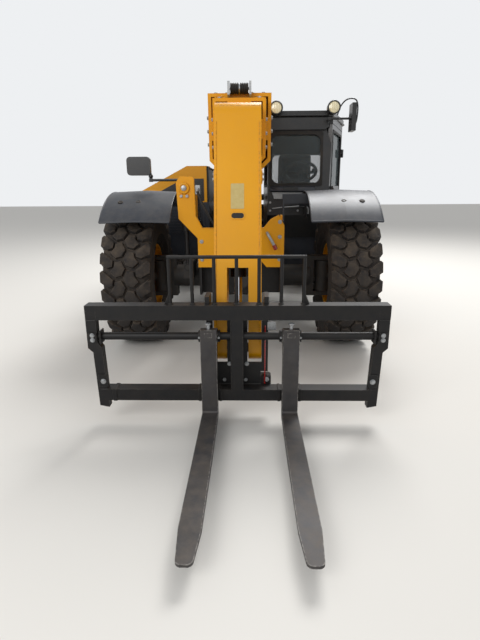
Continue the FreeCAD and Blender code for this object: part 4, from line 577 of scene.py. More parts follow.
# Side of the tread and its shift in pitches.
ROWS = [(SHOULDER, 1, 0.0), (SHOULDER, -1, 0.5), (CENTRE, 1, 0.5), (CENTRE, -1, 0.0)]


def crown(across):
    """Tread radius across the tyre: a flat crown that falls off at the shoulder."""
    share = abs(across) / CROWN_HALF
    past = max(0.0, (abs(across) - CROWN_SHOULDER) / SHOULDER_WIDE)
    return TREAD_RADIUS - 0.010 * share ** 2 - 0.018 * past ** 2


def on_tyre(across, pitch, radius):
    """A point of the tyre by its place across, its pitch round the tread and its radius."""
    angle = math.tau * pitch / PITCHES
    return Vector((across, -radius * math.cos(angle), radius * math.sin(angle)))


def tread_block(shape, outline, side, shift):
    """One moulded block: drafted walls, a rounded rim and a slightly scrubbed face."""
    pitch_length = math.tau * TREAD_RADIUS / PITCHES
    flat = [(u * side, v * pitch_length) for u, v in outline]
    edge_points = []
    for (u1, v1), (u2, v2) in zip(flat, flat[1:] + flat[:1]):
        parts = max(1, round(math.hypot(u2 - u1, v2 - v1) / 0.022))
        edge_points += [(u1 + (u2 - u1) * i / parts, v1 + (v2 - v1) * i / parts) for i in range(parts)]
    centre = [sum(p[i] for p in edge_points) / len(edge_points) for i in (0, 1)]

    def ring(grow, drop, foot=False):
        """The block's outline, grown or shrunk, at a depth under the crown or down on the sidewall."""
        made = []
        for u, v in edge_points:
            away = math.hypot(u - centre[0], v - centre[1])
            scale = 1 + grow / away
            across = centre[0] + (u - centre[0]) * scale
            along = (centre[1] + (v - centre[1]) * scale) / pitch_length + shift
            radius = crown(u) - drop
            if foot and abs(u) > BLOCK_REACH:
                across, radius = math.copysign(BLOCK_FOOT[0], u), BLOCK_FOOT[1]
            across = max(-TREAD_HALF, min(TREAD_HALF, across))
            worn = 0.0012 * noise.noise(on_tyre(across, along, radius) * 30)
            made.append(on_tyre(across, along, radius + worn))
        return made if side > 0 else made[::-1]

    rings = [ring(0.006, TREAD_DEPTH + 0.004, foot=True), ring(0.0, 0.007), ring(-0.002, 0.002),
             ring(-0.007, 0.0), ring(-0.03, -0.0004)]
    shape.loft(rings)


def tyre_mesh():
    """The lugged tyre that all four wheels carry."""
    shape = Shape()
    # Sidewall and bead from the crown outwards: radius, distance from the middle plane.
    half = [(0.616, 0.0), (0.615, 0.08), (0.608, 0.15), (0.594, 0.185), (0.572, 0.203), (0.556, 0.2085),
            (0.540, 0.2085), (0.536, 0.2115), (0.530, 0.2115), (0.526, 0.2100), (0.480, 0.2150),
            (0.440, 0.2130), (0.425, 0.2115), (0.421, 0.2140), (0.413, 0.2140), (0.409, 0.2090),
            (0.375, 0.1960), (0.352, 0.1830), (0.346, 0.1845), (0.338, 0.1830), (0.332, 0.1760),
            (0.314, 0.1700), (0.305, 0.1600), (0.305, 0.1300)]
    profile = [(r, -w) for r, w in reversed(half)] + half[1:]
    shape.lathe((0, 0, 0), (1, 0, 0), profile, sides=126, closed=True)
    for pitch in range(PITCHES):
        for outline, side, shift in ROWS:
            tread_block(shape, outline, side, pitch + shift)
    return shape.mesh("tyre", ["tyre"], sharp=30)


def wheel_centre(corner):
    """The middle of a wheel by its corner's name."""
    end, hand = corner.split("_")
    return Vector((WHEEL_OUT * WHEEL_SIDE[hand], AXLE_Y[end], WHEEL_HEIGHT))


tread = tyre_mesh()
for corner in CORNERS:
    tyre = piece(f"tread_{corner}", tread, f"wheel_{corner}", wheel_centre(corner))
    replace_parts(tyre, f"tyre_{corner}")


# Places on the object

SLOPE = math.radians(5)
PIVOT = (2.860, 2.100)
BULKHEAD_FACE = -0.8125
CAB_FACE = 0.1905
POD_SIDE = -1.1495
TAIL_FACE = 3.509
ACROSS, BACK, UP = Vector((1, 0, 0)), Vector((0, 1, 0)), Vector((0, 0, 1))
BOOM_AHEAD = Vector((0, -math.cos(SLOPE), -math.sin(SLOPE)))
BOOM_UP = Vector((0, -math.sin(SLOPE), math.cos(SLOPE)))
NOSE_TOP, NOSE_FOOT = Vector((0, -1.6105, 2.0261)), Vector((0, -2.100, 0.370))
NOSE_DOWN = (NOSE_FOOT - NOSE_TOP).normalized()
NOSE_OUT = NOSE_DOWN.cross(ACROSS)
NOSE_HALF = 0.157
# The nose's rounded shoulder: the middle of its arc (y, z), its radius, and half the hollow behind it.
ROUND_CENTRE, ROUND_RADIUS, HOLLOW_HALF = (-1.5263, 1.9230), 0.110, 0.1449
SCREEN_FOOT = Vector((0, 0.190, 1.430))
SCREEN_RISE = Vector((0, 0.1118, 1.0)).normalized()
SCREEN_OUT = SCREEN_RISE.cross(ACROSS) * -1
DOOR_REAR = Vector((1.190, 1.010, 0))
DOOR_LINE = Vector((0.3075, 0.9516, 0)).normalized()
DOOR_OUT = DOOR_LINE.cross(UP)


def axes(across, out):
    """The turn whose local x runs across and whose local z points out."""
    return Matrix((across, out.cross(across), out)).transposed().to_4x4()


def on_boom(x, forward, above):
    """A point by its place along the lowered boom from the pivot and square above it."""
    return Vector((x, *PIVOT)) + BOOM_AHEAD * forward + BOOM_UP * above


def on_nose(x, z, out=0.0):
    """A point on the boom nose's front face at a height, or out from it."""
    share = (NOSE_TOP.z - z) / (NOSE_TOP.z - NOSE_FOOT.z)
    return NOSE_TOP.lerp(NOSE_FOOT, share) + ACROSS * x + NOSE_OUT * out


def on_door(out, along, z):
    """A point by its place along the door from its rear post (forward is negative) and out from it."""
    return DOOR_REAR + DOOR_OUT * out + DOOR_LINE * along + UP * z


def on_guard(across, angle, radius, axle_y):
    """A point over a wheel by its angle ahead of the top, in degrees."""
    turn = math.radians(angle)
    return Vector((across, axle_y - radius * math.sin(turn), WHEEL_HEIGHT + radius * math.cos(turn)))


def circle(centre, level, radius, count, first=0.0):
    """Places on an upright circle through a level direction, the first one a share of a step on."""
    turns = [math.tau * (number + first) / count for number in range(count)]
    return [centre + level * (radius * math.cos(turn)) + UP * (radius * math.sin(turn)) for turn in turns]


def rounded_box(low, high, radius, steps=5):
    """A rectangle's outline with round corners."""
    points = []
    for sign_u, sign_v, first in ((1, 1, 0), (-1, 1, 90), (-1, -1, 180), (1, -1, 270)):
        u = (high[0] if sign_u > 0 else low[0]) - sign_u * radius
        v = (high[1] if sign_v > 0 else low[1]) - sign_v * radius
        for step in range(steps + 1):
            turn = math.radians(first + 90 * step / steps)
            points.append((u + radius * math.cos(turn), v + radius * math.sin(turn)))
    return points


# Boom and nose


def shoulder_strip(shape):
    """A curved strip that closes the slit in the nose's shoulder from inside, a hair under its surface."""
    angles = [math.radians(angle) for angle in range(28, 50, 3)]
    outline = []
    for radius, turns in ((ROUND_RADIUS - 0.0002, angles), (ROUND_RADIUS - 0.006, angles[::-1])):
        outline += [(-radius * math.sin(turn), radius * math.cos(turn)) for turn in turns]
    since = len(shape.points)
    shape.prism(outline, 0.0, 2 * HOLLOW_HALF, edge=0.0004)
    shape.lay(since, axes(BACK, ACROSS), (-HOLLOW_HALF, *ROUND_CENTRE))


def nose_fittings():
    """Weld lines, the blank plate, the rimmed slot and the tilt pin's keepers on the boom nose."""
    shape = Shape()
    for x in (-0.143, 0.143):
        shape.bead(on_nose(x, 1.90, 0.001), on_nose(x, 0.50, 0.001), 0.004)
    turn = axes(ACROSS, NOSE_OUT)
    since = len(shape.points)
    shape.prism(rounded_box((-0.044, -0.084), (0.044, 0.084), 0.006), 0.0, 0.0022, edge=0.0006, finish=1)
    shape.lay(since, turn, on_nose(-0.002, 1.424))
    # The rimmed slot: a yellow rim round a thin black sheet. The sheet is painted shade, standing for the
    # slot's dark hollow.
    since = len(shape.points)
    shape.frame(rounded_box((-0.050, -0.026), (0.050, 0.026), 0.024),
                rounded_box((-0.041, -0.018), (0.041, 0.018), 0.017), 0.0, 0.004)
    shape.prism(rounded_box((-0.042, -0.019), (0.042, 0.019), 0.018), 0.0, 0.0012, edge=0.0004, finish=2)
    shape.lay(since, turn, on_nose(0.0, 1.300))
    for side in (1, -1):
        place = Vector((NOSE_HALF * side, -1.620, 1.550))
        shape.lathe(place, ACROSS * side, [(0.050, 0), (0.050, 0.007), (0.044, 0.010)])
        for angle in (math.radians(35), math.radians(215)):
            spot = place + Vector((0.010 * side, 0.030 * math.cos(angle), 0.030 * math.sin(angle)))
            shape.bolt(spot, ACROSS * side, 0.018, 0.010, 3)
    shoulder_strip(shape)
    return shape.mesh("nose_fittings", ["yellow_paint", "blank_plate", "black_paint", "galvanised"])


def middle_fittings():
    """Weld round the middle section's collar and the bolts of its wear pads."""
    shape = Shape()
    back, half, low, high = 3.894, 0.203, 0.0, 0.376
    shape.bead(on_boom(-half, back, high), on_boom(half, back, high), 0.005)
    for side in (1, -1):
        shape.bead(on_boom(half * side, back, low), on_boom(half * side, back, high), 0.005)
        for above in (0.03, 0.13, 0.23):
            shape.bolt(on_boom(0.202 * side, 3.955, above), ACROSS * side, 0.024, 0.014, 1)
    for x in (-0.15, 0.15):
        shape.bolt(on_boom(x, 3.955, 0.378), BOOM_UP, 0.024, 0.012, 1)
    return shape.mesh("middle_fittings", ["yellow_paint", "galvanised"])


def outer_fittings():
    """Collar welds, wear-pad bolts, the pad shoes in the mouth, and the pipes clamped to the right side."""
    shape = Shape()
    half, low, high = 0.2495, -0.065, 0.425
    for back in (3.659, -0.019):
        shape.bead(on_boom(-half, back, high), on_boom(half, back, high), 0.006)
        for side in (1, -1):
            shape.bead(on_boom(half * side, back, low), on_boom(half * side, back, high), 0.006)
    for side in (1, -1):
        for forward in (3.72, 3.80, -0.14):
            for above in (0.05, 0.15, 0.25):
                shape.bolt(on_boom(0.249 * side, forward, above), ACROSS * side, 0.026, 0.015, 1)
        for x in (0.10, 0.19):
            shape.bolt(on_boom(x * side, 3.76, 0.425), BOOM_UP, 0.026, 0.014, 1)
        shoe, half_shoe = on_boom(0.150 * side, 3.861, 0.381), Vector((0.046, 0.010, 0.014))
        shape.slab(shoe - half_shoe, shoe + half_shoe, 0.004)
        shape.bolt(on_boom(0.150 * side, 3.872, 0.381), BOOM_AHEAD, 0.016, 0.008, 1)
        for x in (0.056, 0.086):
            shape.bead(on_boom(x * side, 1.66, -0.128), on_boom(x * side, 2.18, -0.128), 0.006)
    for above in (0.24, 0.285):
        shape.tube([on_boom(-0.262, 3.50 - 0.4 * i, above) for i in range(9)], 0.011, 2, 12)
    for forward in (3.42, 2.62, 1.82, 1.02, 0.42):
        middle = on_boom(-0.252, forward, 0.2625)
        low, high = middle - Vector((0.017, 0.025, 0.044)), middle + Vector((0.022, 0.025, 0.044))
        shape.slab(low, high, 0.004, 2)
        shape.bolt(middle + Vector((-0.017, 0, 0)), -ACROSS, 0.016, 0.010, 1)
    return shape.mesh("outer_fittings", ["yellow_paint", "galvanised", "black_paint"])


def guide_sleeves():
    """Two grooved rubber sleeves on the hose guide's rollers, four ribs each."""
    shape = Shape()
    middle, rib_pitch = on_boom(0, 3.894, 0.451), 0.0163
    for start in (-0.0695, 0.0045):
        profile = []
        for at in [rib * rib_pitch for rib in range(4)]:
            profile += [(0.036, at), (0.0405, at + 0.003), (0.0405, at + 0.009), (0.036, at + 0.012)]
        profile.append((0.036, 0.065))
        shape.lathe(middle + ACROSS * start, ACROSS, profile, sides=40)
    return shape.mesh("guide_sleeves", ["hose"])


piece("boom_nose_fittings", nose_fittings(), "boom_inner")
piece("boom_middle_fittings", middle_fittings(), "boom_middle")
piece("boom_outer_fittings", outer_fittings(), "boom_outer")
piece("hose_guide_sleeves", guide_sleeves(), "boom_outer")


# Chassis front


def bulkhead_fittings():
    """The sway pin's painted ring and keeper, welds on the tower, and the fitting that a hose leaves."""
    shape = Shape()
    pin = Vector((-0.490, -0.826, 1.480))
    ring = [(0.030, -0.012), (0.047, -0.012), (0.049, -0.004), (0.045, 0.004), (0.034, 0.005), (0.030, 0.002)]
    shape.lathe(pin, -BACK, ring, closed=True)
    shape.lathe(pin, -BACK, [(0.024, 0), (0.024, 0.006), (0.019, 0.009)], 1, 32)
    shape.slab((-0.530, -0.8205, 1.398), (-0.450, BULKHEAD_FACE, 1.428), 0.003)
    for x in (-0.515, -0.465):
        shape.bolt((x, -0.8205, 1.413), -BACK, 0.018, 0.010, 1)
    weld = [(-0.4035, 1.560), (-0.3965, 1.245), (-0.390, 1.236), (-0.342, 1.142), (-0.338, 1.1385),
            (0.198, 1.1385)]
    for (x1, z1), (x2, z2) in zip(weld[::2], weld[1::2]):
        shape.bead((x1, BULKHEAD_FACE, z1), (x2, BULKHEAD_FACE, z2), 0.0045)
    shape.slab((-0.4035, -0.800, 1.425), (-0.352, -0.786, 1.505), 0.003, 1)
    shape.drum((-0.372, -0.798, 1.466), (-0.372, -0.846, 1.466), 0.017, 0.003, 1, 6)
    shape.drum((-0.372, -0.846, 1.466), (-0.370, -0.858, 1.448), 0.014, 0.003, 1)
    shape.drum((-0.222, -0.850, 1.150), (-0.212, -0.812, 1.122), 0.016, 0.003, 1, 6)
    # A capped coupling on the low tower.
    shape.tube(smooth_route([(0.232, -0.815, 1.098), (0.248, -0.842, 1.070), (0.272, -0.850, 1.030),
                             (0.296, -0.850, 0.986)]), 0.013, 1, 14)
    shape.drum((0.292, -0.850, 0.994), (0.312, -0.850, 0.952), 0.019, 0.004, 2, 20)
    for x, z in ((0.345, 1.190), (0.345, 1.060), (0.345, 0.860), (-0.350, 0.860), (-0.350, 1.020)):
        shape.bolt((x, -0.812, z), -BACK, 0.024, 0.014, 1)
    return shape.mesh("bulkhead_fittings", ["yellow_paint", "galvanised", "red_lens"])


def bulkhead_hose():
    """The short hose from the tower's fitting to the bulkhead, held by a fitting at each end."""
    shape = Shape()
    shape.tube(smooth_route([(-0.371, -0.852, 1.457), (-0.352, -0.872, 1.405), (-0.318, -0.884, 1.330),
                             (-0.276, -0.882, 1.250), (-0.240, -0.868, 1.185), (-0.224, -0.853, 1.155)]),
               0.011, 0, 14)
    return shape.mesh("bulkhead_hose", ["hose"])


piece("bulkhead_fittings", bulkhead_fittings(), "chassis")
piece("bulkhead_hose", bulkhead_hose(), "chassis")


# Cab


def screen_seal():
    """The black rubber round the windscreen with its large inner corners."""
    shape = Shape()
    since = len(shape.points)
    foot = SCREEN_FOOT.z
    shape.frame(rounded_box((0.286, 1.494 - foot), (0.853, 2.052 - foot), 0.022, 8),
                rounded_box((0.314, 1.526 - foot), (0.826, 2.020 - foot), 0.075, 8), 0.0, 0.007)
    shape.lay(since, axes(ACROSS, SCREEN_OUT), SCREEN_FOOT)
    return shape.mesh("screen_seal", ["hose"])


def cab_front_trim():
    """The cowl under the windscreen, its dark intake (a black slab of painted shade), the ribbed pale panel
    and the bent pale rail (a pale tube standing for a painted edge highlight).
    """
    shape = Shape()
    # The cowl's section (y, z) swells and shrinks along x about its nose's height.
    seat, nose = CAB_FACE + 0.001, 1.466
    section = [(seat, 1.500), (0.160, 1.497), (0.132, 1.486), (0.118, nose), (0.116, 1.448),
               (0.124, 1.440), (seat, 1.440)]
    rings = []
    for x, share in ((0.292, 0.35), (0.300, 0.62), (0.325, 0.86), (0.380, 1.0), (0.540, 1.06), (0.700, 1.0),
                     (0.745, 0.86), (0.768, 0.62), (0.776, 0.35)):
        rings.append([Vector((x, seat - (seat - y) * share, nose + (z - nose) * (0.5 + share / 2)))
                      for y, z in section])
    shape.loft(rings, 0)
    # The dark intake: a thin black slab on the cowl's nose, painted shade standing for the intake's hollow.
    shape.prism(rounded_box((0.430, 1.449), (0.592, 1.487), 0.012), 0.1095, 0.116, "y", 0.002, 1)
    shape.prism([(0.316, 1.434), (0.340, 1.366), (0.700, 1.366), (0.720, 1.434)], 0.172, CAB_FACE, "y",
                0.004, 2)
    for number in range(8):
        x = 0.362 + number * 0.045
        shape.slab((x, 0.167, 1.374), (x + 0.016, 0.1725, 1.426), 0.002, 2)
    # The bent pale rail is a painted highlight: a pale galvanised tube laid along the bright edges of the
    # lower cab panel and the mudguard, which it stands for.
    shape.tube(smooth_route([(0.330, 0.170, 1.266), (0.420, 0.156, 1.276), (0.560, 0.150, 1.286),
                             (0.640, 0.150, 1.292), (0.690, 0.150, 1.280), (0.706, 0.150, 1.256),
                             (0.708, 0.152, 1.208)]), 0.008, 2, 12)
    for place in ((0.330, 0.168, 1.266), (0.560, 0.150, 1.286), (0.708, 0.152, 1.214)):
        shape.drum(place, (place[0], 0.191, place[2]), 0.007, 0.001, 2, 12)
    # The header above the glass.
    header = [(0.275, 2.062), (0.870, 2.062), (0.905, 2.090), (0.905, 2.180), (0.275, 2.180)]
    shape.prism(header, 0.226, 0.276, "y", 0.006, 1)
    # Panel seams and fixings of the lower front.
    for z in (1.222, 1.345):
        shape.slab((0.285, CAB_FACE - 0.004, z), (0.905, CAB_FACE, z + 0.006), 0.001, 1)
    for x in (0.300, 0.600, 0.900):
        for z in (1.242, 1.328):
            shape.bolt((x, 0.190, z), -BACK, 0.016, 0.008, 2)
    return shape.mesh("cab_front_trim", ["black_plastic", "cab_black", "galvanised"])


def lamp_lens():
    """A pale fluted lens, slightly domed, in a black rim."""
    shape = Shape()
    dome = [(0.054, 0), (0.052, 0.004), (0.038, 0.010), (0.018, 0.013), (0.003, 0.014)]
    rim = [(0.054, -0.012), (0.067, -0.012), (0.068, 0.000), (0.064, 0.010), (0.056, 0.011), (0.054, 0.004)]
    for place in ((0.350, 0.1445, 2.262), (0.935, 0.1445, 2.262)):
        shape.lathe(place, -BACK, dome, 0, 48)
        shape.lathe(place, -BACK, rim, 1, 48, closed=True)
    return shape.mesh("lamp_lenses", ["lamp_lens", "cab_black"])


def roof_trim():
    """A rolled gutter round the roof, ribs pressed into its top, and the left mirror's wire loop."""
    shape = Shape()
    outline = [(0.268, 0.226), (0.895, 0.226), (0.946, 0.262), (1.206, 1.010), (1.206, 1.556), (1.164, 1.604),
               (0.268, 1.604)]
    route = [Vector((x, y, 2.200)) for x, y in outline]
    for a, b in zip(route, route[1:] + route[:1]):
        shape.drum(a, b, 0.009, 0.002, 0, 12)
    for number in range(5):
        x = 0.360 + number * 0.145
        # The outermost rib starts behind the roof's cut corner.
        near = 0.330 if x < 0.9 else 0.330 + (x - 0.86) * 2.9
        shape.slab((x, near, 2.243), (x + 0.045, 1.520, 2.250), 0.0035)
    shape.tube(smooth_route([(1.000, 0.300, 2.212), (1.012, 0.200, 2.280), (1.050, 0.130, 2.325),
                             (1.110, 0.110, 2.335), (1.152, 0.110, 2.312), (1.167, 0.110, 2.240),
                             (1.160, 0.110, 2.130), (1.142, 0.110, 2.090)]), 0.007, 0, 12)
    return shape.mesh("roof_trim", ["cab_black"])


def door_trim():
    """The door's middle rail, its rubber seal and the grip of its handle."""
    shape = Shape()
    turn = Matrix((DOOR_OUT, DOOR_LINE, UP)).transposed().to_4x4()
    for low, high, finish in (((-0.0155, -0.742, 1.418), (0.003, -0.084, 1.500), 0),
                              ((-0.002, -0.794, 1.120), (0.003, -0.036, 1.128), 0),
                              ((0.030, -0.784, 1.362), (0.0385, -0.754, 1.478), 1)):
        middle = [(a + b) / 2 for a, b in zip(low, high)]
        half = [(b - a) / 2 for a, b in zip(low, high)]
        spot = on_door(*middle)
        shape.slab(spot - Vector(half), spot + Vector(half), 0.004, finish, turn)
    since = len(shape.points)
    shape.frame(rounded_box((-0.752, 1.254), (-0.074, 2.072), 0.02, 6),
                rounded_box((-0.730, 1.278), (-0.098, 2.048), 0.06, 6), 0.0, 0.005, 1)
    shape.lay(since, Matrix((DOOR_LINE, UP, DOOR_OUT)).transposed().to_4x4(), DOOR_REAR)
    return shape.mesh("door_trim", ["cab_black", "hose"])


def side_seals():
    """Rubber round the rear, quarter and boom-side windows."""
    shape = Shape()
    # window: local x axis, local z axis (out), origin, low and high corners, corner radius
    windows = [
        (-ACROSS, BACK, (0, 1.650, 0), (-1.086, 1.454), (-0.374, 1.916)),
        (BACK, ACROSS, (1.190, 0, 0), (1.079, 1.444), (1.546, 1.951)),
        (-BACK, -ACROSS, (0.270, 0, 0), (-1.236, 1.504), (-0.354, 2.041)),
    ]
    for across, out, origin, low, high in windows:
        lines = []
        for grow, radius in ((0.016, 0.02), (-0.012, 0.06)):
            lines.append(rounded_box([v - grow for v in low], [v + grow for v in high], radius, 6))
        since = len(shape.points)
        shape.frame(*lines, 0.0, 0.006)
        shape.lay(since, axes(across, out), origin)
    return shape.mesh("side_seals", ["hose"])


def steering_set():
    """The moulded rim and boss of the steering wheel, the gauge pod and the joystick."""
    shape = Shape()
    lean = Vector((0, math.sin(math.radians(35)), math.cos(math.radians(35))))
    centre = Vector((0.660, 0.5843, 1.6503))
    rim, thick = 0.175, 0.0175
    turns = [math.tau * i / 12 for i in range(12)]
    shape.lathe(centre, lean, [(rim + thick * math.cos(a), thick * math.sin(a)) for a in turns], 0, 64,
                closed=True)
    boss = [(0.040, -0.030), (0.052, -0.012), (0.050, 0.012), (0.030, 0.020), (0.004, 0.022)]
    shape.lathe(centre, lean, boss)
    knob = centre + Vector((0.150, 0, 0))
    shape.drum(knob + lean * 0.006, knob + lean * 0.046, 0.020, 0.008, 0, 20)
    pod = [(0.320, 1.440), (0.330, 1.518), (0.520, 1.536), (0.780, 1.536), (0.800, 1.440)]
    shape.prism(pod, 0.262, 0.405, "y", 0.016, 0)
    shape.slab((0.560, 0.395, 1.480), (0.740, 0.425, 1.575), 0.012, 0)
    shape.slab((0.925, 0.690, 0.988), (1.010, 1.230, 1.385), 0.020, 0)
    shape.drum((0.966, 0.722, 1.380), (0.964, 0.716, 1.480), 0.011, 0.002, 0, 16)
    grip = [(0.012, 0), (0.022, 0.012), (0.024, 0.040), (0.018, 0.062), (0.004, 0.068)]
    shape.lathe((0.964, 0.715, 1.476), (0, -0.1, 1), grip, 0, 24)
    return shape.mesh("steering_set", ["black_plastic", "hose"])


def mirror_faces():
    """Silvered glass in the mirror heads, facing the driver, and the ball joints on their arms."""
    shape = Shape()
    shape.prism(rounded_box((-1.058, 1.605), (-0.854, 1.755), 0.03), -0.4115, -0.4090, "y", 0.0008, 0)
    shape.prism(rounded_box((1.104, 2.036), (1.136, 2.278), 0.008), 0.1885, 0.1905, "y", 0.0006, 0)
    ball = [(0.010, -0.020), (0.019, -0.010), (0.021, 0.0), (0.019, 0.010), (0.010, 0.020)]
    for place in ((-0.850, -0.435, 1.590), (-0.500, -0.790, 1.555)):
        shape.lathe(place, UP, ball, 1, 24)
    return shape.mesh("mirror_faces", ["chrome", "cab_black"])


SWELL_FRAMES, SWELL_PRESSURE = 20, 4.0


def padding(name, low, high, edge, cap, thick):
    """A stuffed cushion: a rounded block blown up a little as cloth, its swelling capped."""
    shape = Shape()
    shape.slab(low, high, edge)
    mesh = shape.mesh(name, ["seat_cloth"])
    thing = bpy.data.objects.new(name, mesh)
    bpy.context.scene.collection.objects.link(thing)
    grid = thing.modifiers.new("grid", "REMESH")
    grid.mode = "VOXEL"
    grid.voxel_size = thick
    depsgraph = bpy.context.evaluated_depsgraph_get()
    thing.data = bpy.data.meshes.new_from_object(thing.evaluated_get(depsgraph))
    thing.modifiers.clear()
    rest = [v.co.copy() for v in thing.data.vertices]
    cloth = thing.modifiers.new("swell", "CLOTH")
    cloth.settings.use_pressure = True
    cloth.settings.uniform_pressure_force = SWELL_PRESSURE
    cloth.settings.effector_weights.gravity = 0
    cloth.settings.quality = 5
    scene = bpy.context.scene
    for number in range(1, SWELL_FRAMES + 1):
        scene.frame_set(number)
    depsgraph = bpy.context.evaluated_depsgraph_get()
    blown = bpy.data.meshes.new_from_object(thing.evaluated_get(depsgraph))
    thing.modifiers.clear()
    scene.frame_set(1)
    for vertex, start in zip(blown.vertices, rest):
        step = vertex.co - start
        if step.length > cap:
            vertex.co = start + step.normalized() * cap
    thing.data = blown
    smooth = thing.modifiers.new("smooth", "SUBSURF")
    smooth.levels = smooth.render_levels = 1
    depsgraph = bpy.context.evaluated_depsgraph_get()
    thing.data = bpy.data.meshes.new_from_object(thing.evaluated_get(depsgraph))
    thing.modifiers.clear()
    thing.data.materials.clear()
    thing.data.materials.append(FINISHES["seat_cloth"])
    thing.data.shade_smooth()
    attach(thing, "chassis")


def seat_frame():
    """The seat's pedestal, slides, back shell and piped seams under the cushions."""
    shape = Shape()
    shape.slab((0.530, 1.000, 0.985), (0.790, 1.260, 1.060), 0.012, 0)
    for number in range(6):
        grow = 0.010 * (number % 2)
        shape.slab((0.545 - grow, 1.015 - grow, 1.060 + number * 0.030),
                   (0.775 + grow, 1.245 + grow, 1.090 + number * 0.030), 0.010, 0)
    shape.slab((0.440, 0.900, 1.240), (0.880, 1.330, 1.302), 0.014, 0)
    shape.prism(rounded_box((0.450, 1.380), (0.870, 1.890), 0.060), 1.345, 1.388, "y", 0.012, 0)
    # The reclining plates that carry the back on the pan.
    for x in (0.446, 0.874):
        shape.slab((x - 0.007, 1.190, 1.250), (x + 0.007, 1.380, 1.475), 0.005, 0)
    # Piping round the back and the cushion.
    back_seam = [(u, 1.311, v) for u, v in rounded_box((0.463, 1.416), (0.857, 1.883), 0.055, 6)]
    cushion_seam = [(u, v, 1.344) for u, v in rounded_box((0.449, 0.897), (0.872, 1.251), 0.05, 6)]
    for seam in (back_seam, cushion_seam):
        shape.tube(seam + seam[:1], 0.005, 1, 8)
    return shape.mesh("seat_frame", ["black_plastic", "seat_cloth"])


piece("screen_seal", screen_seal(), "chassis")
piece("cab_front_trim", cab_front_trim(), "chassis")
piece("lamp_lenses", lamp_lens(), "chassis")
piece("roof_trim", roof_trim(), "chassis")
piece("door_trim", door_trim(), "door")
piece("side_seals", side_seals(), "chassis")
piece("steering_set", steering_set(), "chassis")
piece("mirror_faces", mirror_faces(), "chassis")
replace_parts(piece("seat_frame", seat_frame(), "chassis"), "seat")
padding("seat_cushion", (0.438, 0.888, 1.300), (0.882, 1.262, 1.388), 0.040, 0.026, 0.006)
padding("seat_back", (0.452, 1.272, 1.405), (0.868, 1.350, 1.895), 0.036, 0.026, 0.006)


# Carriage and forks

# y of the fork frame's bars and of the plates bolted on their front, x of the two forks.
BAR_FRONT, BAR_REAR = -2.2397, -2.1477
PLATE_FRONT, PLATE_REAR = -2.2475, -2.2385
SHOE_FRONT, SHOE_REAR = -2.2445, -2.1435
FORK_SIDES = (-0.172, 0.331)


def carriage_fittings():
    """End caps, welds, keepers, sleeves and small brackets of the fork frame and coupler."""
    shape = Shape()
    for side in (1, -1):
        # End caps of the upper and the lower bar: x, foot, top.
        for x, low, high in ((0.9285, 0.702, 0.790), (0.8785, 0.167, 0.238)):
            shape.slab((x * side - 0.003, BAR_FRONT + 0.002, low), (x * side + 0.004, BAR_REAR - 0.002, high),
                       0.003)
        # Welds on the bars' fronts: from x and z to x and z, behind the face, radius.
        for x1, z1, x2, z2, behind, radius in ((0.868, 0.699, 0.928, 0.699, 0.0, 0.0045),
                                               (0.864, 0.756, 0.864, 0.706, 0.004, 0.0045),
                                               (0.830, 0.2415, 0.874, 0.2415, 0.002, 0.0045),
                                               (0.037, 0.245, 0.037, 0.695, -0.0005, 0.003)):
            y = BAR_FRONT + behind
            shape.bead((x1 * side, y, z1), (x2 * side, y, z2), radius)
        # Keeper plate over the fork shaft's end.
        shape.slab((0.846 * side - 0.006, -2.250, 0.548), (0.846 * side + 0.006, -2.176, 0.632), 0.004)
        shape.slab((0.894 * side - 0.026, PLATE_FRONT, 0.560), (0.894 * side + 0.026, PLATE_REAR, 0.620),
                   0.003)
        for z in (0.575, 0.605):
            shape.bolt((0.894 * side, PLATE_FRONT, z), -BACK, 0.020, 0.011, 1)
        # Foot bracket on the side post.
        shape.slab((0.850 * side - 0.030, PLATE_FRONT, 0.262), (0.850 * side + 0.030, PLATE_REAR, 0.345),
                   0.004)
        shape.bolt((0.850 * side, PLATE_FRONT, 0.300), -BACK, 0.024, 0.013, 1)
    for x in FORK_SIDES:
        for side in (1, -1):
            shape.lathe((x + side * 0.0515, -2.206, 0.590), ACROSS * side,
                        [(0.026, 0), (0.038, 0.001), (0.038, 0.013), (0.035, 0.016), (0.026, 0.016)], 0, 32)
            shape.bolt((x + side * 0.060, -2.244, 0.590), -BACK, 0.010, 0.006, 1)
            shoe = x + side * 0.066
            shape.slab((shoe - 0.011, SHOE_FRONT, 0.161), (shoe + 0.011, SHOE_REAR, 0.2445), 0.004)
    shape.slab((-0.800, SHOE_FRONT, 0.161), (-0.770, SHOE_REAR, 0.2445), 0.004)
    for z in (0.6985, 0.2425):
        shape.bead((-0.150, -2.1505, z), (0.150, -2.1505, z), 0.005)
    for x in (-0.407, -0.2713, -0.1357, 0, 0.1357, 0.2713, 0.407):
        shape.lathe((x, -2.1997, 0.792), UP, [(0.0185, -0.001), (0.0175, 0.004), (0.011, 0.010)], 0, 20)
    shape.slab((-0.112, -2.144, 0.128), (0.218, -2.066, 0.296), 0.008)
    for x in (-0.085, 0.053, 0.190):
        shape.bolt((x, -2.144, 0.146), -BACK, 0.022, 0.012, 1)
        shape.bolt((x, -2.144, 0.272), -BACK, 0.022, 0.012, 1)
    for x in (-0.051, 0.061):
        shape.bolt((x, BAR_REAR, 0.382), -BACK, 0.020, 0.012, 1)
    shape.slab((0.190, -2.1525, 0.611), (0.245, -2.1440, 0.664), 0.003, 1)
    shape.tube([(0.177, -2.1525, 0.246), (0.177, -2.1525, 0.644)], 0.0045, 2, 10)
    return shape.mesh("carriage_fittings", ["black_paint", "galvanised", "red_lens"])


def guard_gussets():
    """A gusset at each outer foot of the load guard."""
    shape = Shape()
    for side in (1, -1):
        outline = [(x * side, z) for x, z in ((0.396, 0.793), (0.444, 0.793), (0.420, 0.852), (0.406, 0.862))]
        shape.prism(outline[::side], -2.2045, -2.1945, "y", 0.002)
    return shape.mesh("guard_gussets", ["black_paint"])


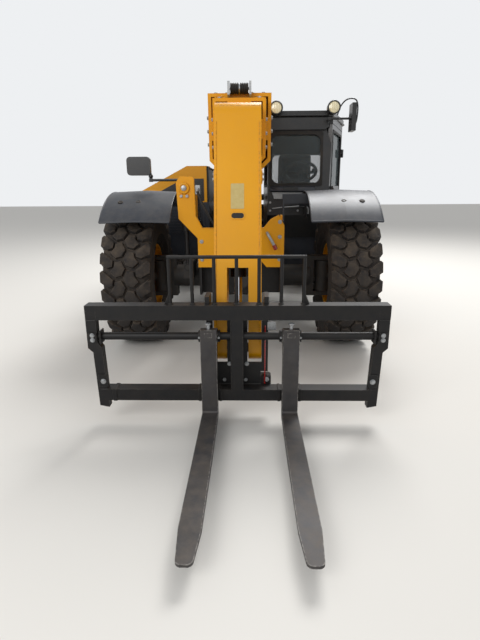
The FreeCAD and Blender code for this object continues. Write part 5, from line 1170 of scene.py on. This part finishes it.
def fork_fittings():
    """The forks' top stops, their lock pins and the hook welds."""
    shape = Shape()
    knob = [(0.011, 0), (0.018, 0.003), (0.018, 0.009), (0.010, 0.013)]
    for x in FORK_SIDES:
        shape.drum((x, -2.262, 0.648), (x, -2.262, 0.678), 0.011, 0.002, 1, 20)
        shape.lathe((x, -2.262, 0.678), UP, knob, 1, 24)
        for side in (1, -1):
            shape.bead((x + side * 0.0503, -2.2395, 0.558), (x + side * 0.0503, -2.2395, 0.622), 0.003)
        shape.slab((x - 0.024, -2.2935, 0.604), (x + 0.024, -2.2895, 0.634), 0.0015)
    return shape.mesh("fork_fittings", ["fork_steel", "galvanised"])


piece("carriage_fittings", carriage_fittings(), "carriage")
piece("guard_gussets", guard_gussets(), "carriage")
piece("fork_fittings", fork_fittings(), "carriage")


# Axles, wheels and mudguards


def axle_fittings(end, lead):
    """Differential cover, arm flanges, breather and the steering cylinder's hoses of one axle."""
    shape = Shape()
    y = AXLE_Y[end]
    cover = [(0.0715, 0), (0.155, 0), (0.157, 0.030), (0.128, 0.046), (0.085, 0.052), (0.0715, 0.052)]
    shape.lathe((0, y - 0.165 * lead, WHEEL_HEIGHT), BACK * -lead, cover, 0, 48, closed=True)
    for spot in circle(Vector((0, y - 0.196 * lead, WHEEL_HEIGHT)), ACROSS, 0.142, 12):
        shape.bolt(spot, BACK * -lead, 0.019, 0.012, 1)
    for side in (1, -1):
        flange = [(0.106, 0), (0.142, 0.001), (0.143, 0.026), (0.120, 0.034), (0.106, 0.036)]
        shape.lathe((0.30 * side, y, WHEEL_HEIGHT), ACROSS * side, flange)
        for spot in circle(Vector((0.326 * side, y, WHEEL_HEIGHT)), BACK, 0.130, 10, 0.5):
            shape.bolt(spot, ACROSS * side, 0.018, 0.011, 1)
        # A hose of the steering cylinder: x, y from the axle's line, z.
        shape.drum((0.205 * side, y + 0.172 * lead, 0.572), (0.205 * side, y + 0.172 * lead, 0.596), 0.013,
                   0.002, 1, 6)
        hose = [(0.205, 0.172, 0.590), (0.212, 0.176, 0.650), (0.190, 0.168, 0.745), (0.120, 0.152, 0.815),
                (0.070, 0.236, 0.838)]
        shape.tube(smooth_route([(x * side, y + away * lead, z) for x, away, z in hose]), 0.010, 2, 12)
    shape.drum((0.070, y, 0.842), (0.070, y, 0.872), 0.010, 0.002, 1, 12)
    return shape.mesh(f"axle_fittings_{end}", ["cast", "galvanised", "hose"])


def hub_fittings(corner):
    """Wheel nuts round the hub, the planetary cover's bolts and plug, and the tyre valve."""
    centre = wheel_centre(corner)
    out = ACROSS * math.copysign(1, centre.x)
    cover_face = centre + out * 0.165
    shape = Shape()
    flange = [(0.151, 0), (0.232, 0), (0.232, 0.007), (0.227, 0.010), (0.151, 0.010)]
    shape.lathe(centre + out * 0.087, out, flange, 0, 56, closed=True)
    washer = [(0.021, 0), (0.021, 0.006), (0.014, 0.008)]
    for spot in circle(centre, BACK, 0.196, 10):
        shape.lathe(spot + out * 0.097, out, washer, 1, 20)
        shape.bolt(spot + out * 0.099, out, 0.028, 0.022, 1)
        shape.drum(spot + out * 0.118, spot + out * 0.130, 0.0085, 0.002, 1, 12)
    for spot in circle(cover_face, BACK, 0.088, 12, 0.5):
        shape.bolt(spot, out, 0.016, 0.009, 1)
    cap = [(0.036, 0), (0.034, 0.010), (0.024, 0.013), (0.006, 0.013)]
    shape.lathe(cover_face, out, cap, 0, 32)
    plug, valve = [BACK * math.cos(turn) + UP * math.sin(turn) for turn in (2.2, 0.6)]
    shape.bolt(cover_face + plug * 0.052, out, 0.022, 0.010, 1)
    foot, tip = centre + valve * 0.262 + out * 0.085, centre + valve * 0.252 + out * 0.125
    shape.drum(foot, tip, 0.0055, 0.001, 1, 12)
    return shape.mesh(f"hub_fittings_{corner}", ["yellow_paint", "galvanised"])


def mudguard_edges(end, first, last):
    """Rolled lips along the edges of an axle's two mudguards, and their domed fixings."""
    shape = Shape()
    y = AXLE_Y[end]
    inner, crease, outer = 0.600, 0.8975, 1.195
    edge_radius, crease_radius, steps = 0.7945, 0.8065, 28
    for side in (1, -1):
        for x in (inner, outer):
            angles = [first + (last - first) * i / steps for i in range(steps + 1)]
            shape.tube([on_guard(x * side, angle, edge_radius, y) for angle in angles], 0.0075)
        for angle in (first, last):
            shape.tube([on_guard(inner * side, angle, edge_radius, y),
                        on_guard(crease * side, angle, crease_radius, y),
                        on_guard(outer * side, angle, edge_radius, y)], 0.0085)
        for x in (0.896, 1.054):
            for angle in ((27.5, -22) if end == "front" else (30, -45)):
                place = on_guard(x * side, angle, 0.8050 if x < 1 else 0.8040, y)
                outward = (place - Vector((place.x, y, WHEEL_HEIGHT))).normalized()
                shape.lathe(place, outward, [(0.024, -0.004), (0.024, 0.004), (0.018, 0.008), (0.011, 0.006),
                                             (0.003, 0.005)], 1, 28)
    return shape.mesh(f"mudguard_edges_{end}", ["black_plastic", "hose"])


for end, lead, first, last in (("front", 1, -35, 46), ("rear", -1, -60, 44)):
    piece(f"axle_fittings_{end}", axle_fittings(end, lead), "chassis")
    piece(f"mudguard_edges_{end}", mudguard_edges(end, first, last), "chassis")
for corner in CORNERS:
    piece(f"hub_fittings_{corner}", hub_fittings(corner), f"wheel_{corner}")


# Engine side, tank and tail


def hood_trim():
    """The hood's pressed ridges, front screen, hinge straps and latches."""
    shape = Shape()
    lean = Vector((0.530, 0, 0.270)).normalized()
    rise = lean.cross(BACK)
    # A pressed ridge along the sloping top, and a second one beside it.
    for share in (0.30, 0.72):
        foot = Vector((-1.150, 0, 1.450)) + lean * (0.595 * share)
        for away, half in ((0.0015, 0.030), (0.0050, 0.016)):
            low = foot - lean * half + rise * (away - 0.004)
            high = foot + lean * half + rise * away
            ring = []
            for y, pull in ((0.470, 0.4), (0.500, 1.0), (1.790, 1.0), (1.820, 0.4)):
                mid = (low + high) / 2
                ring.append([Vector((mid.x, y, mid.z)) + lean * (sign * half * pull) + rise * lift
                             for sign, lift in ((-1, -0.004), (1, -0.004), (0.8, away), (-0.8, away))])
            shape.loft(ring, 0)
    # The dark screen that fills the hood's front under a yellow rim, with its louvres.
    hood_slope = 1.96
    shape.prism([(-1.118, 1.342), (-0.434, 1.342), (-0.434, 1.585), (-0.665, 1.585), (-1.118, 1.354)],
                0.4075, 0.4115, "y", 0.002, 1)
    for number in range(8):
        z = 1.360 + number * 0.028
        left = -1.098 + hood_slope * (z - 1.354)
        louvre = [(left, z), (-0.450, z), (-0.450, z + 0.013), (left, z + 0.013)]
        shape.prism(louvre, 0.4005, 0.4105, "y", 0.003, 1)
    for y in (0.700, 1.560):
        shape.slab((POD_SIDE - 0.013, y - 0.026, 1.310), (POD_SIDE, y + 0.026, 1.392), 0.004, 2)
        shape.drum((-1.166, y - 0.020, 1.382), (-1.166, y + 0.020, 1.382), 0.007, 0.002, 2, 16)
    shape.tube(smooth_route([(-1.080, 0.396, 1.350), (-1.080, 0.372, 1.352), (-1.060, 0.366, 1.352),
                             (-0.960, 0.366, 1.352), (-0.940, 0.372, 1.352), (-0.940, 0.400, 1.350)]),
               0.008, 1, 12)
    return shape.mesh("hood_trim", ["yellow_paint", "cab_black", "galvanised"])


def pod_trim():
    """Louvres and a mesh frame on the engine pod's front, side panel seams and quarter-turn fasteners."""
    shape = Shape()
    shape.slab((-1.120, 0.4045, 0.960), (-0.430, 0.4115, 1.290), 0.003)
    for number in range(9):
        z = 0.985 + number * 0.032
        louvre = [(-1.090, z), (-0.460, z), (-0.460, z + 0.014), (-1.090, z + 0.014)]
        shape.prism(louvre, 0.396, 0.406, "y", 0.004)
    for number in range(6):
        z = 0.998 + number * 0.056
        shape.slab((POD_SIDE - 0.005, 0.505, z), (POD_SIDE, 1.135, z + 0.006), 0.0015)
    for y, z in ((0.450, 0.740), (0.450, 1.290), (1.180, 0.740), (1.180, 1.290)):
        shape.lathe((-1.150, y, z), -ACROSS, [(0.017, 0), (0.016, 0.005), (0.006, 0.006)], 1, 24)
    shape.slab((POD_SIDE - 0.004, 1.150, 0.720), (POD_SIDE, 1.156, 1.310), 0.001)
    return shape.mesh("pod_trim", ["black_plastic", "galvanised"])


def tank_trim():
    """Filler cap, retaining straps and the chequered treads of the step."""
    shape = Shape()
    cap = [(0.046, -0.012), (0.046, 0.010), (0.040, 0.020), (0.020, 0.024), (0.004, 0.024)]
    shape.lathe((1.090, 0.500, 0.905), (0.7, 0, 0.7), cap, 0, 36)
    for y in (1.060, 1.300):
        for low, high in (((1.1195, y - 0.022, 0.592), (1.1245, y + 0.022, 0.868)),
                          ((0.700, y - 0.022, 0.4965), (1.018, y + 0.022, 0.5015))):
            shape.slab(low, high, 0.002, 1)
        shape.bolt((1.1245, y, 0.730), ACROSS, 0.018, 0.010, 2)
    for number in range(9):
        y = 0.625 + number * 0.0415
        shape.slab((0.966, y, 0.600), (1.116, y + 0.014, 0.606), 0.002, 2)
    for number in range(8):
        y = 0.455 + number * 0.115
        shape.slab((0.620, y, 0.939), (1.040, y + 0.030, 0.9435), 0.002, 1)
    return shape.mesh("tank_trim", ["black_plastic", "cab_black", "galvanised"])


def tail_trim():
    """Lamp bezels, reflectors, weight bolts, the boom tail's cover and the pivot pin's keepers."""
    shape = Shape()
    for side in (1, -1):
        since = len(shape.points)
        shape.frame(rounded_box((-0.066, -0.041), (0.066, 0.041), 0.012),
                    rounded_box((-0.054, -0.029), (0.054, 0.029), 0.008), 0.0, 0.007, 1)
        shape.lay(since, axes(-ACROSS, BACK), (0.540 * side, TAIL_FACE, 0.825))
        reflector = [(0.040, 0), (0.040, 0.006), (0.034, 0.009), (0.003, 0.010)]
        shape.lathe((0.400 * side, TAIL_FACE, 0.825), BACK, reflector, 3, 36)
        for x, z in ((0.180, 0.720), (0.180, 0.930), (0.575, 0.930)):
            shape.lathe((x * side, 3.5095, z), BACK, [(0.030, 0), (0.030, 0.004)], 2, 28)
            shape.bolt((x * side, 3.5130, z), BACK, 0.036, 0.020, 2)
        pin = Vector((0.380 * side, PIVOT[0], PIVOT[1]))
        collar = [(0.0455, 0), (0.082, 0), (0.082, 0.010), (0.078, 0.013), (0.0455, 0.013)]
        shape.lathe(pin, ACROSS * side, collar, 0, 44, closed=True)
        end_cap = [(0.043, 0), (0.040, 0.005), (0.012, 0.006)]
        shape.lathe(pin + ACROSS * (side * 0.0295), ACROSS * side, end_cap, 2, 36)
        shape.slab(pin + Vector((0.0165 * side - 0.004, -0.020, 0.0465)),
                   pin + Vector((0.0165 * side + 0.004, 0.020, 0.088)), 0.002, 2)
        # Doubling plates with plug welds on the tower's sides.
        doubler = [(2.620, 1.540), (2.960, 1.540), (2.930, 1.960), (2.750, 1.960)]
        shape.prism(doubler, 0.3795 * side - 0.0035, 0.3795 * side + 0.0065, "x", 0.003, 1)
        shape.bead((0.3865 * side, 2.622, 1.5385), (0.3865 * side, 2.958, 1.5385), 0.005, 1)
    since = len(shape.points)
    shape.prism(rounded_box((-0.180, -0.190), (0.180, 0.190), 0.03), 0.0, 0.006, edge=0.002, finish=0)
    for x in (-0.155, 0.155):
        for v in (-0.165, 0, 0.165):
            shape.bolt((x, v, 0.006), UP, 0.022, 0.012, 2)
    shape.lay(since, axes(-ACROSS, BOOM_AHEAD * -1), on_boom(0, -0.2, 0.145))
    return shape.mesh("tail_trim", ["yellow_paint", "black_paint", "galvanised", "red_lens"])


def lift_barrel_pipes():
    """Ports, rigid pipe and clamps on the lift cylinder."""
    shape = Shape()
    base, eye = Vector((0, 2.480, 0.970)), Vector((0, 1.002, 1.536))
    ahead = (eye - base).normalized()
    for side in (1, -1):
        start, end, out = base + ahead * 0.190, base + ahead * 1.375, ACROSS * side
        shape.drum(start + out * 0.078, start + out * 0.112, 0.017, 0.003, 1, 6)
        shape.drum(end + out * 0.088, end + out * 0.112, 0.017, 0.003, 1, 6)
        shape.tube([start + out * 0.108, end + out * 0.108], 0.009, 1, 12)
        for share in (0.3, 0.55, 0.8):
            at = start.lerp(end, share)
            shape.drum(at + out * 0.080, at + out * 0.122, 0.014, 0.002, 0, 12)
    gland = [(0.0455, 0), (0.080, 0), (0.078, 0.012), (0.060, 0.018), (0.0455, 0.018)]
    shape.lathe(base + ahead * 1.413, ahead, gland, 1, 40, closed=True)
    return shape.mesh("lift_barrel_pipes", ["yellow_paint", "galvanised"])


piece("hood_trim", hood_trim(), "hood")
piece("pod_trim", pod_trim(), "chassis")
piece("tank_trim", tank_trim(), "chassis")
piece("tail_trim", tail_trim(), "chassis")
piece("lift_barrel_pipes", lift_barrel_pipes(), "lift_barrel")


# Floor, light and camera


def make_floor():
    """A plain pale floor that keeps the shadow."""
    mesh = bpy.data.meshes.new("floor")
    half = 40.0
    mesh.from_pydata([(-half, -half, 0), (half, -half, 0), (half, half, 0), (-half, half, 0)], [],
                     [(0, 1, 2, 3)])
    floor = bpy.data.objects.new("floor", mesh)
    bpy.context.scene.collection.objects.link(floor)
    finish = surface("floor_plain_matt", {"Roughness": 0.95, "Base Color": linear("#D9D6D0")})[0]
    mesh.materials.append(finish)


def make_light():
    """Soft studio light: an even surround, a broad lamp over the machine and a weak one in front."""
    world = bpy.data.worlds.new("studio")
    bpy.context.scene.world = world
    world.use_nodes = True
    tree = world.node_tree
    tree.nodes.clear()
    path = add(tree, "ShaderNodeLightPath", {})
    glossy = add(tree, "ShaderNodeMath", {"operation": "MAXIMUM"},
                 {0: path.outputs["Is Camera Ray"], 1: path.outputs["Is Glossy Ray"]})
    seen = add(tree, "ShaderNodeMath", {"operation": "MAXIMUM"},
               {0: glossy.outputs[0], 1: path.outputs["Is Transmission Ray"]})
    even = add(tree, "ShaderNodeBackground", {"Color": linear("#F2F4F7"), "Strength": 0.62})
    back = add(tree, "ShaderNodeBackground", {"Color": linear("#EEF0F2"), "Strength": 1.0})
    mixed = add(tree, "ShaderNodeMixShader", {}, {0: seen.outputs[0], 1: even.outputs[0],
                                                  2: back.outputs[0]})
    add(tree, "ShaderNodeOutputWorld", {}, {"Surface": mixed.outputs[0]})
    for name, place, aim, size, power in (("over", (2.5, 4.5, 8.5), (0, -0.5, 0.8), 5.0, 900),
                                          ("front", (-3.5, -7.5, 4.5), (0, 0, 1.0), 4.0, 240)):
        light = bpy.data.lights.new(name, "AREA")
        light.size = size
        light.energy = power
        lamp = bpy.data.objects.new(name, light)
        lamp.location = place
        lamp.rotation_euler = (Vector(aim) - Vector(place)).to_track_quat("-Z", "Y").to_euler()
        bpy.context.scene.collection.objects.link(lamp)


def make_camera():
    """The photograph's camera: held at chest height in front of the machine, looking a little down."""
    place = (0.08, -4.9036, 1.4675)
    pitch, yaw, roll = 0.2795, -0.0225, 0.0064
    level = Vector((math.cos(yaw), -math.sin(yaw), 0))
    rise = Vector((math.sin(yaw) * math.sin(pitch), math.cos(yaw) * math.sin(pitch), math.cos(pitch)))
    ahead = Vector((math.sin(yaw) * math.cos(pitch), math.cos(yaw) * math.cos(pitch), -math.sin(pitch)))
    right = level * math.cos(roll) - rise * math.sin(roll)
    up = level * math.sin(roll) + rise * math.cos(roll)
    camera = bpy.data.cameras.new("camera")
    camera.sensor_width = 36.0
    camera.lens = 25.616
    camera.clip_end = 200.0
    thing = bpy.data.objects.new("camera", camera)
    thing.matrix_world = Matrix.Translation(place) @ Matrix((right, up, -ahead)).transposed().to_4x4()
    bpy.context.scene.collection.objects.link(thing)
    bpy.context.scene.camera = thing


make_floor()
make_light()
make_camera()
bpy.context.scene.view_settings.view_transform = "Standard"
